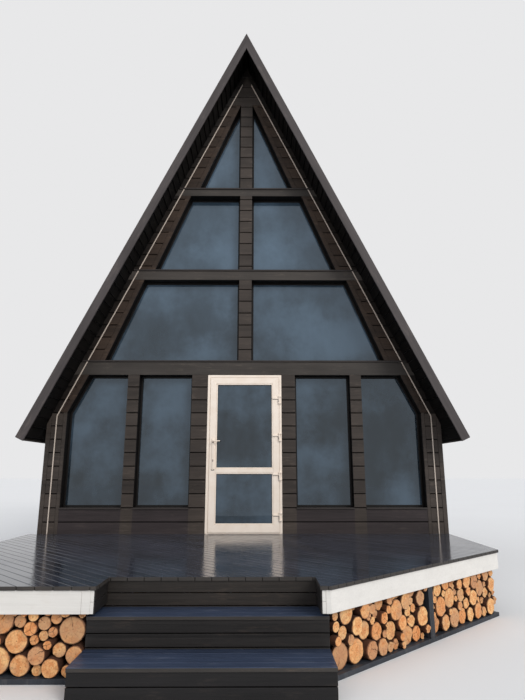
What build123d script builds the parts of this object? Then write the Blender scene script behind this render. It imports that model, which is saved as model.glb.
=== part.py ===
"""A-frame cabin with a timber deck, three front steps and log stores under the deck.

Lengths are in millimetres. X runs to the right, Y runs from the front wall into the cabin
and Z runs up. The origin lies on the ground under the middle of the front wall.
"""
from build123d import *
import math
import os
import random

os.makedirs("parts", exist_ok=True)

# Heights
deck_top = 625.0
step_count = 3
rise = deck_top / step_count

# Cabin plan
cabin_length = 6000.0
half_width = 2640.0
wall_thick = 200.0
side_wall_thick = 150.0
side_wall_height = 1395.0
overhang = 450.0

# Foundation and floors
foundation_inset = 40.0
foundation_thick = 200.0
front_strip_reach = 60.0
floor_thick = 180.0

# Roof
roof_angle = math.radians(64.7)
soffit_thick = 18.0
roof_core_thick = 79.0
eave_reach = 114.0
barge_thick = 28.0
barge_below = 10.0
barge_above = 101.0
eave_board_thick = 20.0
ridge_cap_leg = 160.0
ridge_cap_thick = 4.0

# Front wall: heights over the deck
knee_height = 1550.0
floor_beam_low = 2067.0
floor_beam_high = 2250.0
middle_beam_low = 3445.0
middle_beam_high = 3580.0
top_beam_low = 4767.0
top_beam_high = 4872.0
cap_thick = 20.0
cap_reach = 15.0
peak_panel_high = 658.0
sill_panel_high = 302.0

# Front wall: widths
centre_mullion_width = 176.0
corner_pier_width = 256.0
outer_post_inner = 1437.0
outer_post_outer = 1591.0
door_post_left = 716.0
door_post_right = 686.0
strip_under_beam = 228.0
strip_over_beam = 300.0
strip_ground = 192.0

# Rear windows: heights over the deck and half widths
rear_ground_low = 900.0
rear_ground_high = 1950.0
rear_ground_inner = 350.0
rear_ground_outer = 1650.0
rear_loft_low = 2550.0
rear_loft_high = 3350.0
rear_loft_inner = 80.0
rear_loft_outer = 900.0

# Window frames and glass
pane_recess = 150.0
frame_bar = 26.0
frame_depth = 45.0
glass_thick = 24.0

# Light strip
light_width = 14.0
light_depth = 9.0
light_inset = 68.0
light_from_corner = 127.0
light_peak_gap = 68.0

# Door
door_width = 1000.0
door_height = 2065.0
door_bar = 31.0
door_frame_depth = 70.0
door_stop_lip = 14.0
threshold = 8.0
door_stop_depth = 12.0
gap_hinge_side = 6.0
gap_latch_side = 9.0
gap_top = 6.0
leaf_proud = 6.0
leaf_thick = 58.0
leaf_stile = 96.0
leaf_glass_low = 128.0
mid_rail_low = 747.0
mid_rail_high = 831.0
leaf_glass_high = 1929.0
hinge_heights = [210.0, 720.0, 1225.0, 1725.0]
hinge_radius = 9.0
hinge_barrel = 62.0
hinge_end_barrel = 18.0
hinge_pin_radius = 4.0
moving_gap = 5.5
axis_forward = 20.0
hinge_wing = 9.0
hinge_wing_width = 88.0
hinge_plate = 4.0
fine_sides = 12
turning_gap = 0.3
lever_height = 1170.0
spindle_radius = 8.0
lever_stand = 38.0
lever_thick = 12.0
lever_deep = 20.0
lever_length = 110.0
plate_width = 36.0
plate_thick = 9.0
plate_bottom = 800.0
lock_height = 925.0
lock_radius = 9.0
lock_proud = 4.0

# Deck
board_thick = 27.0
board_nose = 12.0
deck_past_left = 110.0
deck_front = -3165.0
notch_left = -935.0
notch_right = 623.0
notch_back = -2835.0
corner_front_x = 700.0
corner_side_y = -1420.0
fascia_high = 155.0
fascia_thick = 25.0
notch_lining = 10.0
skirt_thick = 25.0
joist_width = 45.0
joist_high = 145.0
joist_first = 150.0
joist_pitch = 700.0
joist_count = 4
joist_clear = 3.0
deck_post = 90.0

# Steps
step_left = -1010.0
step_right = 690.0
tread_1_front = -3092.0
tread_2_front = -3450.0
riser_thick = 25.0
tread_nose = 14.0

# Log stores
bed_high = 35.0
bed_ahead = 5.0
bed_short = 60.0
store_post = 70.0
log_length = 330.0
log_gap = 0.35
log_set_back = 45.0
log_radius_min = 27.0
log_radius_max = 98.0
log_sides = 16
log_shrink = 0.93
log_shift = 50.0
small_log_spread = 0.5
pocket_share = 0.4
log_over = 60.0
first_log_at = 86.0
store_clear = 1.0
store_back_gap = 25.0
board_end_gap = 2.0
back_board_end = 150.0
right_store_end = 22.0
middle_post_share = 0.514
right_skirt_set_back = 150.0
seat_trials = 240
shift_seed = 5
left_pile_seed = 11
middle_pile_seed = 23
right_pile_seed = 37

# Values that follow from the sizes above
run_per_rise = 1.0 / math.tan(roof_angle)
cos_a = math.cos(roof_angle)
sin_a = math.sin(roof_angle)
soffit_peak = side_wall_height + half_width / run_per_rise
slope_length = (half_width + eave_reach) / cos_a
panes_peak = soffit_peak - peak_panel_high
deck_left = -half_width - deck_past_left
deck_right = half_width
roof_depth = soffit_thick + roof_core_thick
rear_face = cabin_length
rear_inner = cabin_length - wall_thick
cladding_low = deck_top - board_thick


def save(name, solids):
    """Write one node as a STEP file."""
    shape = solids[0] if len(solids) == 1 else Compound(children=solids)
    shape.label = name
    export_step(shape, "parts/" + name + ".step")


def prism_y(points, y_low, y_high):
    """A solid with an outline in X and Z, running from y_low to y_high."""
    corners = [Vector(x, y_low, z) for x, z in points]
    face = Face(Wire.make_polygon(corners, close=True))
    return Solid.extrude(face, Vector(0, y_high - y_low, 0))


def prism_z(points, z_low, z_high):
    """A solid with an outline in X and Y, running from z_low to z_high."""
    corners = [Vector(x, y, z_low) for x, y in points]
    face = Face(Wire.make_polygon(corners, close=True))
    return Solid.extrude(face, Vector(0, 0, z_high - z_low))


def block(x_low, x_high, y_low, y_high, z_low, z_high):
    """A plain block between two corners."""
    points = [(x_low, z_low), (x_high, z_low), (x_high, z_high), (x_low, z_high)]
    return prism_y(points, y_low, y_high)


def bar(start, direction, radius, length, sides):
    """A many-sided bar from a start point along a direction, with a flat side up."""
    along = Vector(*direction).normalized()
    up = Vector(0, 0, 1) if abs(along.Z) < 0.5 else Vector(0, 1, 0)
    across = along.cross(up).normalized()
    corners = []
    for i in range(sides):
        turn = 2 * math.pi * (i + 0.5) / sides
        corners.append(Vector(*start) + across * (radius * math.cos(turn)) + up * (radius * math.sin(turn)))
    face = Face(Wire.make_polygon(corners, close=True))
    return Solid.extrude(face, along * length)


def mirrored(points):
    """The same outline on the other side of the middle."""
    return [(-x, z) for x, z in points]


def roof_x(height, depth):
    """Half width, at a height over the deck, of the roof plane at a depth over the soffit."""
    return (soffit_peak + depth / cos_a - height) * run_per_rise


def roof_z(x, depth):
    """Height over the deck of that roof plane at a half width."""
    return soffit_peak + depth / cos_a - x / run_per_rise


def roof_layer(depth_low, depth_high, end_length):
    """Outline of the right-hand slope between two depths, cut square at the eave."""
    def end_point(depth):
        x = end_length * cos_a + depth * sin_a
        z = deck_top + soffit_peak - end_length * sin_a + depth * cos_a
        return (x, z)
    low_peak = deck_top + soffit_peak + depth_low / cos_a
    high_peak = deck_top + soffit_peak + depth_high / cos_a
    return [(0.0, low_peak), (0.0, high_peak), end_point(depth_high), end_point(depth_low)]


def lifted(points):
    """Raise an outline drawn over the deck to its height over the ground."""
    return [(x, z + deck_top) for x, z in points]


def inset(points, amount):
    """Move every side of a convex outline inwards by the same amount."""
    centre_x = sum(p[0] for p in points) / len(points)
    centre_z = sum(p[1] for p in points) / len(points)
    lines = []
    for i in range(len(points)):
        ax, az = points[i]
        bx, bz = points[(i + 1) % len(points)]
        length = math.hypot(bx - ax, bz - az)
        nx = -(bz - az) / length
        nz = (bx - ax) / length
        if (centre_x - ax) * nx + (centre_z - az) * nz < 0:
            nx = -nx
            nz = -nz
        lines.append((nx, nz, nx * ax + nz * az + amount))
    result = []
    for i in range(len(lines)):
        n1x, n1z, c1 = lines[i - 1]
        n2x, n2z, c2 = lines[i]
        det = n1x * n2z - n1z * n2x
        result.append(((c1 * n2z - n1z * c2) / det, (n1x * c2 - c1 * n2x) / det))
    return result


# Foundation and floors
floor_low = deck_top - floor_thick
foundation_x = half_width - foundation_inset
foundation_front = foundation_inset
foundation_rear = cabin_length - foundation_inset
foundation_inner_x = foundation_x - foundation_thick
foundation = block(-foundation_x, foundation_x, -front_strip_reach, foundation_rear, 0.0, floor_low)
foundation = foundation.cut(block(
    -foundation_inner_x,
    foundation_inner_x,
    foundation_front + foundation_thick,
    foundation_rear - foundation_thick,
    0.0,
    floor_low,
))
save("foundation", [foundation])
save("ground_floor", [
    block(-half_width, half_width, 0.0, cabin_length, floor_low, deck_top)
])
loft_low_x = roof_x(floor_beam_low, soffit_thick)
loft_high_x = roof_x(floor_beam_high, soffit_thick)
save("loft_floor", [prism_y(lifted([
    (-loft_low_x, floor_beam_low),
    (loft_low_x, floor_beam_low),
    (loft_high_x, floor_beam_high),
    (-loft_high_x, floor_beam_high),
]), wall_thick, rear_inner)])

# Low side walls
side_inner = half_width - side_wall_thick
side_outline = lifted([
    (side_inner, 0.0),
    (half_width, 0.0),
    (half_width, roof_z(half_width, soffit_thick)),
    (side_inner, roof_z(side_inner, soffit_thick)),
])
save("side_walls", [
    prism_y(side_outline, wall_thick, rear_inner),
    prism_y(mirrored(side_outline), wall_thick, rear_inner),
])

# Roof slopes, boards under them, and boards along their edges
roof_front = -overhang + barge_thick
roof_rear = cabin_length + overhang - barge_thick
core_end = slope_length - eave_board_thick
core_outline = roof_layer(soffit_thick, roof_depth, core_end)
save("roof_right", [prism_y(core_outline, roof_front, roof_rear)])
save("roof_left", [prism_y(mirrored(core_outline), roof_front, roof_rear)])

soffit_outline = roof_layer(0.0, soffit_thick, core_end)
eave_soffit_outline = [
    (half_width, deck_top + roof_z(half_width, 0.0)),
    (half_width, deck_top + roof_z(half_width, soffit_thick)),
    soffit_outline[2],
    soffit_outline[3],
]


def soffit_slope(flip):
    """The soffit boards of one slope: front and rear overhang and the strip along the eave."""
    outline = mirrored(soffit_outline) if flip else soffit_outline
    strip = mirrored(eave_soffit_outline) if flip else eave_soffit_outline
    front = prism_y(outline, roof_front, 0.0)
    rear = prism_y(outline, cabin_length, roof_rear)
    side = prism_y(strip, 0.0, cabin_length)
    return front.fuse(side).fuse(rear)


save("soffit", [soffit_slope(False).fuse(soffit_slope(True))])

eave_outline_low = roof_layer(0.0, roof_depth, core_end)
eave_outline_high = roof_layer(0.0, roof_depth, slope_length)
eave_board = [eave_outline_low[3], eave_outline_high[3], eave_outline_high[2], eave_outline_low[2]]
save("eave_boards", [
    prism_y(eave_board, roof_front, roof_rear),
    prism_y(mirrored(eave_board), roof_front, roof_rear),
])

barge_outline = roof_layer(-barge_below, barge_above, slope_length)
save("front_barge_right", [prism_y(barge_outline, -overhang, roof_front)])
save("front_barge_left", [prism_y(mirrored(barge_outline), -overhang, roof_front)])
save("rear_barge_right", [prism_y(barge_outline, roof_rear, roof_rear + barge_thick)])
save("rear_barge_left", [prism_y(mirrored(barge_outline), roof_rear, roof_rear + barge_thick)])

cap_layer = roof_layer(roof_depth, roof_depth + ridge_cap_thick, ridge_cap_leg)
cap_right = prism_y(cap_layer, roof_front, roof_rear)
cap_left = prism_y(mirrored(cap_layer), roof_front, roof_rear)
save("ridge_cap", [cap_right.fuse(cap_left)])

# Front wall: posts beside the openings of the ground storey
wall_plane = soffit_thick
pier_outline = lifted([
    (half_width - corner_pier_width, 0.0),
    (half_width, 0.0),
    (half_width, roof_z(half_width, wall_plane)),
    (roof_x(knee_height, wall_plane), knee_height),
    (half_width - corner_pier_width, knee_height),
])
post_low = deck_top
post_high = deck_top + floor_beam_low
save("ground_posts", [
    prism_y(pier_outline, 0.0, wall_thick),
    prism_y(mirrored(pier_outline), 0.0, wall_thick),
    block(outer_post_inner, outer_post_outer, 0.0, wall_thick, post_low, post_high),
    block(-outer_post_outer, -outer_post_inner, 0.0, wall_thick, post_low, post_high),
    block(door_width / 2, door_post_right, 0.0, wall_thick, post_low, post_high),
    block(-door_post_left, -door_width / 2, 0.0, wall_thick, post_low, post_high),
])

# Front wall: beams across the whole front, and the thin ledges on them
beams = [
    (floor_beam_low, floor_beam_high),
    (middle_beam_low, middle_beam_high),
    (top_beam_low, top_beam_high),
]


def beam_outline(low, high):
    """Outline of a level band of the front wall between the roof slopes."""
    low_x = roof_x(low, wall_plane)
    high_x = roof_x(high, wall_plane)
    return lifted([(-low_x, low), (low_x, low), (high_x, high), (-high_x, high)])


save("beams", [prism_y(beam_outline(low, high), 0.0, wall_thick) for low, high in beams])

ledges = []
for low, high in beams:
    x = roof_x(high + cap_thick, wall_plane)
    soffit_x = roof_x(high + cap_thick, 0.0)
    top = deck_top + high + cap_thick
    ledge = prism_y(beam_outline(high, high + cap_thick), 0.0, wall_thick)
    lip = block(-soffit_x, soffit_x, -cap_reach, 0.0, deck_top + high, top)
    ledges.append(ledge.fuse(lip))
sill_top = sill_panel_high + cap_thick
sill_spans = [
    (outer_post_outer, half_width - corner_pier_width),
    (-(half_width - corner_pier_width), -outer_post_outer),
    (door_post_right, outer_post_inner),
    (-outer_post_inner, -door_post_left),
]
for x_low, x_high in sill_spans:
    ledges.append(block(
        x_low, x_high, -cap_reach, wall_thick, deck_top + sill_panel_high, deck_top + sill_top
    ))
save("ledges", ledges)
save("sill_panels", [
    block(x_low, x_high, 0.0, wall_thick, deck_top, deck_top + sill_panel_high)
    for x_low, x_high in sill_spans
])

# Front wall: middle mullion with the boarded peak, and the strips along the slopes
half_mullion = centre_mullion_width / 2
rows = [
    (floor_beam_high + cap_thick, middle_beam_low),
    (middle_beam_high + cap_thick, top_beam_low),
    (top_beam_high + cap_thick, panes_peak),
]
mullions = []
for low, high in rows:
    mullions.append(block(
        -half_mullion, half_mullion, 0.0, wall_thick, deck_top + low, deck_top + high
    ))
peak_x = roof_x(panes_peak, wall_plane)
peak_outline = lifted([
    (-peak_x, panes_peak), (peak_x, panes_peak), (0.0, roof_z(0.0, wall_plane))
])
mullions[-1] = mullions[-1].fuse(prism_y(peak_outline, 0.0, wall_thick))
save("centre_mullion", mullions)


def pane_edge(low, high, at_low, at_high):
    """Inner edge of the strip along the slope: its half widths at the two heights."""
    return (roof_x(low, 0.0) - at_low, roof_x(high, 0.0) - at_high)


strip_edges = []
for low, high in rows:
    strip_edges.append((low, high) + pane_edge(low, high, strip_over_beam, strip_under_beam))
ground_edge_high = roof_x(floor_beam_low, 0.0) - strip_ground
pier_inner = half_width - corner_pier_width
strip_edges.append((knee_height, floor_beam_low, pier_inner, ground_edge_high))
strips = []
for low, high, edge_low, edge_high in strip_edges:
    outline = lifted([
        (edge_low, low),
        (roof_x(low, wall_plane), low),
        (roof_x(high, wall_plane), high),
        (edge_high, high),
    ])
    if high == panes_peak:
        outline[3] = (half_mullion, deck_top + high)
    strips.append(prism_y(outline, 0.0, wall_thick))
    strips.append(prism_y(mirrored(outline), 0.0, wall_thick))
save("rake_strips", strips)

# Window openings of the front wall
upper_openings = []
for low, high, edge_low, edge_high in strip_edges[:3]:
    if high == panes_peak:
        outline = [(half_mullion, low), (edge_low, low), (half_mullion, high)]
    else:
        outline = [(half_mullion, low), (edge_low, low), (edge_high, high), (half_mullion, high)]
    upper_openings.append(lifted(outline))
ground_openings = [
    lifted([
        (outer_post_outer, sill_top),
        (pier_inner, sill_top),
        (pier_inner, knee_height),
        (ground_edge_high, floor_beam_low),
        (outer_post_outer, floor_beam_low),
    ]),
    lifted([
        (door_post_right, sill_top),
        (outer_post_inner, sill_top),
        (outer_post_inner, floor_beam_low),
        (door_post_right, floor_beam_low),
    ]),
]
inner_left_opening = lifted([
    (-outer_post_inner, sill_top),
    (-door_post_left, sill_top),
    (-door_post_left, floor_beam_low),
    (-outer_post_inner, floor_beam_low),
])

# Rear wall: the same storeys in plain form
def rectangle(x_low, x_high, z_low, z_high):
    """Outline of a rectangle drawn over the deck."""
    return lifted([(x_low, z_low), (x_high, z_low), (x_high, z_high), (x_low, z_high)])


rear_ground = [
    rectangle(rear_ground_inner, rear_ground_outer, rear_ground_low, rear_ground_high),
    rectangle(-rear_ground_outer, -rear_ground_inner, rear_ground_low, rear_ground_high),
]
rear_loft = [
    rectangle(rear_loft_inner, rear_loft_outer, rear_loft_low, rear_loft_high),
    rectangle(-rear_loft_outer, -rear_loft_inner, rear_loft_low, rear_loft_high),
]
rear_outline = lifted([
    (-half_width, 0.0),
    (half_width, 0.0),
    (half_width, roof_z(half_width, wall_plane)),
    (0.0, roof_z(0.0, wall_plane)),
    (-half_width, roof_z(half_width, wall_plane)),
])
rear_wall = prism_y(rear_outline, rear_inner, rear_face)
for opening in rear_ground + rear_loft:
    rear_wall = rear_wall.cut(prism_y(opening, rear_inner, rear_face))
save("rear_wall", [rear_wall])


def window(opening, y_low, y_high):
    """A frame ring in an opening and the sheet of glass inside it."""
    inner = inset(opening, frame_bar)
    ring = prism_y(opening, y_low, y_high).cut(prism_y(inner, y_low, y_high))
    middle = (y_low + y_high) / 2
    glass = prism_y(inner, middle - glass_thick / 2, middle + glass_thick / 2)
    return ring, glass


frame_front = pane_recess - (frame_depth - glass_thick) / 2
frames = []
glass_upper = []
glass_ground = []
for opening in upper_openings:
    for outline in (opening, mirrored(opening)):
        ring, glass = window(outline, frame_front, frame_front + frame_depth)
        frames.append(ring)
        glass_upper.append(glass)
for outline in (ground_openings[0], mirrored(ground_openings[0]), ground_openings[1], inner_left_opening):
    ring, glass = window(outline, frame_front, frame_front + frame_depth)
    frames.append(ring)
    glass_ground.append(glass)
rear_frame_low = rear_face - frame_front - frame_depth
for outline in rear_loft:
    ring, glass = window(outline, rear_frame_low, rear_frame_low + frame_depth)
    frames.append(ring)
    glass_upper.append(glass)
for outline in rear_ground:
    ring, glass = window(outline, rear_frame_low, rear_frame_low + frame_depth)
    frames.append(ring)
    glass_ground.append(glass)
save("window_frames", frames)
save("glass_upper", glass_upper)
save("glass_ground", glass_ground)

# Light strips: up beside the corner, then along the slope
light_in = light_inset + light_width / 2
light_out = light_inset - light_width / 2
upright_in = half_width - light_from_corner - light_width / 2
upright_out = half_width - light_from_corner + light_width / 2
light_outline = lifted([
    (upright_in, 0.0),
    (upright_out, 0.0),
    (upright_out, roof_z(upright_out, -light_out)),
    (light_peak_gap, roof_z(light_peak_gap, -light_out)),
    (light_peak_gap, roof_z(light_peak_gap, -light_in)),
    (upright_in, roof_z(upright_in, -light_in)),
])
light_y = -light_depth
light_strips = []
for outline in (light_outline, mirrored(light_outline)):
    strip = prism_y(outline, light_y, 0.0)
    for low, high in beams:
        notch = block(
            -half_width, half_width, -cap_reach, 0.0, deck_top + high, deck_top + high + cap_thick
        )
        strip = strip.cut(notch)
    light_strips.extend(strip.solids())
save("light_strips", light_strips)

# Door frame: a ring with a lip at its back that the leaf shuts in front of
half_door = door_width / 2
door_base = deck_top
frame_outer = [
    (-half_door, door_base),
    (half_door, door_base),
    (half_door, door_base + door_height),
    (-half_door, door_base + door_height),
]
clear_left = -half_door + door_bar
clear_right = half_door - door_bar
clear_low = door_base + threshold
clear_high = door_base + door_height - door_bar
clear = [
    (clear_left, clear_low),
    (clear_right, clear_low),
    (clear_right, clear_high),
    (clear_left, clear_high),
]
lip_clear = [
    (clear_left + door_stop_lip, clear_low),
    (clear_right - door_stop_lip, clear_low),
    (clear_right - door_stop_lip, clear_high - door_stop_lip),
    (clear_left + door_stop_lip, clear_high - door_stop_lip),
]
lip_front = door_frame_depth - door_stop_depth
door_frame = prism_y(frame_outer, 0.0, door_frame_depth)
door_frame = door_frame.cut(prism_y(clear, 0.0, lip_front))
door_frame = door_frame.cut(prism_y(lip_clear, lip_front, door_frame_depth))
save("door_frame", [door_frame])

# Door leaf with two panes
leaf_left = clear_left + gap_latch_side
leaf_right = clear_right - gap_hinge_side
leaf_low = clear_low + gap_top
leaf_high = clear_high - gap_top
leaf_front = -leaf_proud
leaf_back = leaf_front + leaf_thick
pane_left = leaf_left + leaf_stile
pane_right = leaf_right - leaf_stile
leaf = block(leaf_left, leaf_right, leaf_front, leaf_back, leaf_low, leaf_high)
door_panes = []
pane_middle = (leaf_front + leaf_back) / 2
for low, high in ((leaf_glass_low, mid_rail_low), (mid_rail_high, leaf_glass_high)):
    leaf = leaf.cut(block(pane_left, pane_right, leaf_front, leaf_back, deck_top + low, deck_top + high))
    door_panes.append(block(
        pane_left,
        pane_right,
        pane_middle - glass_thick / 2,
        pane_middle + glass_thick / 2,
        deck_top + low,
        deck_top + high,
    ))
lever_x = leaf_left + leaf_stile / 2
lever_z = deck_top + lever_height
bore_radius = (spindle_radius + turning_gap) / math.cos(math.pi / fine_sides)
bore = bar((lever_x, leaf_front - plate_thick, lever_z), (0, 1, 0), bore_radius,
           leaf_thick + 2 * plate_thick, fine_sides)
leaf = leaf.cut(bore)
save("door_leaf", [leaf])
save("door_glass", door_panes)

# Door fittings that ride on the leaf: a long plate on each face, and the lock's cylinder
plate_low = deck_top + plate_bottom
plate_high = lever_z + plate_width
fittings = []
for y in (leaf_front - plate_thick, leaf_back):
    plate = block(lever_x - plate_width / 2, lever_x + plate_width / 2, y, y + plate_thick, plate_low, plate_high)
    fittings.append(plate.cut(bore))
lock_front = leaf_front - plate_thick - lock_proud
fittings[0] = fittings[0].fuse(bar((lever_x, lock_front, deck_top + lock_height), (0, 1, 0), lock_radius,
                                   lock_proud, fine_sides))
save("door_fittings", fittings)

# Lever: a spindle through the leaf with a flat grip on each side
grip_front = leaf_front - plate_thick - lever_stand - lever_thick
grip_back = leaf_back + plate_thick + lever_stand + lever_thick
lever = bar((lever_x, grip_front, lever_z), (0, 1, 0), spindle_radius, grip_back - grip_front, fine_sides)
for y in (grip_front, grip_back - lever_thick):
    lever = lever.fuse(block(lever_x - spindle_radius, lever_x + lever_length, y, y + lever_thick,
                             lever_z - lever_deep / 2, lever_z + lever_deep / 2))
save("door_lever", [lever])

# Hinges: a barrel and wing on the leaf, turning on a pin between two barrels on the frame
axis_x = (leaf_right + clear_right) / 2
axis_y = -axis_forward
leaf_barrels = []
frame_barrels = []
pin_hole_radius = (hinge_pin_radius + turning_gap) / math.cos(math.pi / fine_sides)
for height in hinge_heights:
    z = deck_top + height
    pin_low = z - hinge_barrel / 2 - moving_gap - hinge_end_barrel
    pin_length = hinge_barrel + 2 * moving_gap + 2 * hinge_end_barrel
    barrel = bar((axis_x, axis_y, z - hinge_barrel / 2), (0, 0, 1), hinge_radius, hinge_barrel, fine_sides)
    wing = block(axis_x - hinge_wing_width, axis_x - hinge_radius / 2, leaf_front - hinge_wing, leaf_front,
                 z - hinge_barrel / 2, z + hinge_barrel / 2)
    pin_hole = bar((axis_x, axis_y, pin_low), (0, 0, 1), pin_hole_radius, pin_length, fine_sides)
    leaf_barrels.append(barrel.fuse(wing).cut(pin_hole))
    holder = bar((axis_x, axis_y, pin_low), (0, 0, 1), hinge_pin_radius, pin_length, fine_sides)
    for low in (pin_low, pin_low + pin_length - hinge_end_barrel):
        holder = holder.fuse(bar((axis_x, axis_y, low), (0, 0, 1), hinge_radius, hinge_end_barrel, fine_sides))
        holder = holder.fuse(block(axis_x + hinge_radius / 2, half_door - hinge_plate, axis_y - hinge_plate, 0.0,
                                   low, low + hinge_end_barrel))
    frame_barrels.append(holder)
save("leaf_hinges", leaf_barrels)
save("frame_hinges", frame_barrels)

# Deck: boards in three flat pieces round the notch of the steps
edge_slope = (deck_right - corner_front_x) / (corner_side_y - deck_front)
edge_x_at_notch = corner_front_x + edge_slope * (notch_back - deck_front)
save("deck_main", [prism_z([
    (deck_left, 0.0),
    (deck_left, notch_back),
    (edge_x_at_notch, notch_back),
    (deck_right, corner_side_y),
    (deck_right, 0.0),
], cladding_low, deck_top)])
save("deck_wings", [
    block(deck_left, notch_left, deck_front, notch_back, cladding_low, deck_top),
    prism_z([
        (notch_right, notch_back),
        (notch_right, deck_front),
        (corner_front_x, deck_front),
        (edge_x_at_notch, notch_back),
    ], cladding_low, deck_top),
])

# White boards under the deck's edge
edge_angle = math.atan2(corner_side_y - deck_front, deck_right - corner_front_x)
edge_length = math.hypot(deck_right - corner_front_x, corner_side_y - deck_front)
edge_ux = math.cos(edge_angle)
edge_uy = math.sin(edge_angle)
fascia_low = cladding_low - fascia_high


def on_edge(along, inward):
    """Plan position from the slanting edge: distance along it and distance in from it."""
    x = corner_front_x + along * edge_ux - inward * edge_uy
    y = deck_front + along * edge_uy + inward * edge_ux
    return (x, y)


half_turn = math.tan(edge_angle / 2)
side_turn = math.tan((math.pi / 2 - edge_angle) / 2)
face_in = board_nose
face_back = board_nose + fascia_thick
front_y = deck_front + face_in
front_back_y = deck_front + face_back
save("fascia_front", [
    block(deck_left + face_back, notch_left - face_back, front_y, front_back_y, fascia_low, cladding_low),
    prism_z([
        (notch_right + face_back, front_y),
        (corner_front_x - face_in * half_turn, front_y),
        (corner_front_x - face_back * half_turn, front_back_y),
        (notch_right + face_back, front_back_y),
    ], fascia_low, cladding_low),
])
save("fascia_slanting", [prism_z([
    on_edge(face_in * half_turn, face_in),
    on_edge(edge_length - face_in * side_turn, face_in),
    on_edge(edge_length - face_back * side_turn, face_back),
    on_edge(face_back * half_turn, face_back),
], fascia_low, cladding_low)])
side_corner = on_edge(edge_length - face_in * side_turn, face_in)
side_corner_back = on_edge(edge_length - face_back * side_turn, face_back)
save("fascia_sides", [
    block(notch_left - face_back, notch_left - face_in, front_y, notch_back, fascia_low, cladding_low),
    block(notch_right + face_in, notch_right + face_back, front_y, notch_back, fascia_low, cladding_low),
    block(deck_left + face_in, deck_left + face_back, front_y, 0.0, fascia_low, cladding_low),
    prism_z([
        side_corner,
        (side_corner[0], 0.0),
        (side_corner_back[0], 0.0),
        side_corner_back,
    ], fascia_low, cladding_low),
])

# Steps
tread_1_top = deck_top - rise
tread_2_top = deck_top - 2 * rise
riser_1_face = notch_back + tread_nose
riser_2_face = tread_1_front + tread_nose
riser_3_face = tread_2_front + tread_nose
save("step_treads", [
    block(step_left, step_right, tread_1_front, riser_1_face, tread_1_top - board_thick, tread_1_top),
    block(step_left, step_right, tread_2_front, riser_2_face, tread_2_top - board_thick, tread_2_top),
])
save("step_risers", [
    block(step_left, step_right, riser_1_face, riser_1_face + riser_thick, 0.0, cladding_low),
    block(step_left, step_right, riser_2_face, riser_2_face + riser_thick, 0.0, tread_1_top - board_thick),
    block(step_left, step_right, riser_3_face, riser_3_face + riser_thick, 0.0, tread_2_top - board_thick),
])
step_sides = []
for x in (step_left, step_right - riser_thick):
    step_sides.append(block(x, x + riser_thick, riser_3_face + riser_thick, riser_2_face, 0.0,
                            tread_2_top - board_thick))
    step_sides.append(block(x, x + riser_thick, riser_2_face + riser_thick, riser_1_face, 0.0,
                            tread_1_top - board_thick))

# Thin dark boards on the two sides of the notch, under the deck's nose
for x in (notch_left - face_in, notch_right + face_in - notch_lining):
    step_sides.append(block(x, x + notch_lining, front_y, notch_back, fascia_low, cladding_low))
save("step_sides", step_sides)


def edge_start(inward):
    """Where a piece along the slanting edge begins, clear of the steps' side."""
    return (step_right + store_clear - corner_front_x + inward * edge_uy) / edge_ux


# Boards that close the space under the deck, and the back boards of the log stores
store_back = log_set_back + log_length + store_back_gap
left_back_y = deck_front + store_back
skirt_x_left = deck_left + face_back
skirt_x_right = side_corner_back[0]
right_skirt_front = corner_side_y + right_skirt_set_back
back_start = edge_start(store_back + skirt_thick)
back_end = edge_length - back_board_end
save("under_deck_boards", [
    block(skirt_x_left, skirt_x_left + skirt_thick, left_back_y, 0.0, 0.0, cladding_low),
    block(skirt_x_right - skirt_thick, skirt_x_right, right_skirt_front, -front_strip_reach, 0.0, cladding_low),
    block(skirt_x_left + skirt_thick + board_end_gap, step_left, left_back_y, left_back_y + skirt_thick,
          0.0, cladding_low),
    prism_z([
        on_edge(back_start, store_back),
        on_edge(back_end, store_back),
        on_edge(back_end, store_back + skirt_thick),
        on_edge(back_start, store_back + skirt_thick),
    ], 0.0, cladding_low),
])

# Joists under the boards, each standing on posts
joists = []
joist_posts = []
joist_low = cladding_low - joist_high
left = skirt_x_left + skirt_thick
for row in range(joist_count):
    y = -joist_first - joist_pitch * row
    board_in = store_back + skirt_thick
    along = (y - joist_width / 2 - deck_front - board_in * edge_ux) / edge_uy
    at_board = corner_front_x + along * edge_ux - board_in * edge_uy
    reach = min(skirt_x_right - skirt_thick, at_board) - joist_clear
    joists.append(block(left, reach, y - joist_width / 2, y + joist_width / 2, joist_low, cladding_low))
    for x in (left + deck_post, (left + reach) / 2, reach - deck_post):
        joist_posts.append(block(
            x - deck_post / 2, x + deck_post / 2, y - deck_post / 2, y + deck_post / 2, 0.0, joist_low
        ))
save("deck_joists", joists)
save("deck_posts", joist_posts)

# Frames of the log stores: beds on the ground and posts up to the boards
bed_front = log_set_back - bed_ahead
bed_back = log_set_back + log_length - bed_short
left_bed_y = deck_front + bed_front
left_store_left = skirt_x_left
left_store_right = step_left
left_bed = block(left_store_left, left_store_right, left_bed_y, deck_front + bed_back, 0.0, bed_high)
left_bed = left_bed.fuse(block(left_store_left, left_store_left + store_post, left_bed_y, left_bed_y + store_post,
                               bed_high, cladding_low))
right_end = edge_length - right_store_end
middle_post_at = edge_length * middle_post_share
right_bed = prism_z([
    on_edge(edge_start(bed_front), bed_front),
    on_edge(right_end, bed_front),
    on_edge(right_end, bed_back),
    on_edge(edge_start(bed_back), bed_back),
], 0.0, bed_high)
right_bed = right_bed.fuse(prism_z([
    on_edge(middle_post_at - store_post / 2, bed_front),
    on_edge(middle_post_at + store_post / 2, bed_front),
    on_edge(middle_post_at + store_post / 2, bed_front + store_post),
    on_edge(middle_post_at - store_post / 2, bed_front + store_post),
], bed_high, cladding_low))
save("log_store_frames", [left_bed, right_bed])


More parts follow.
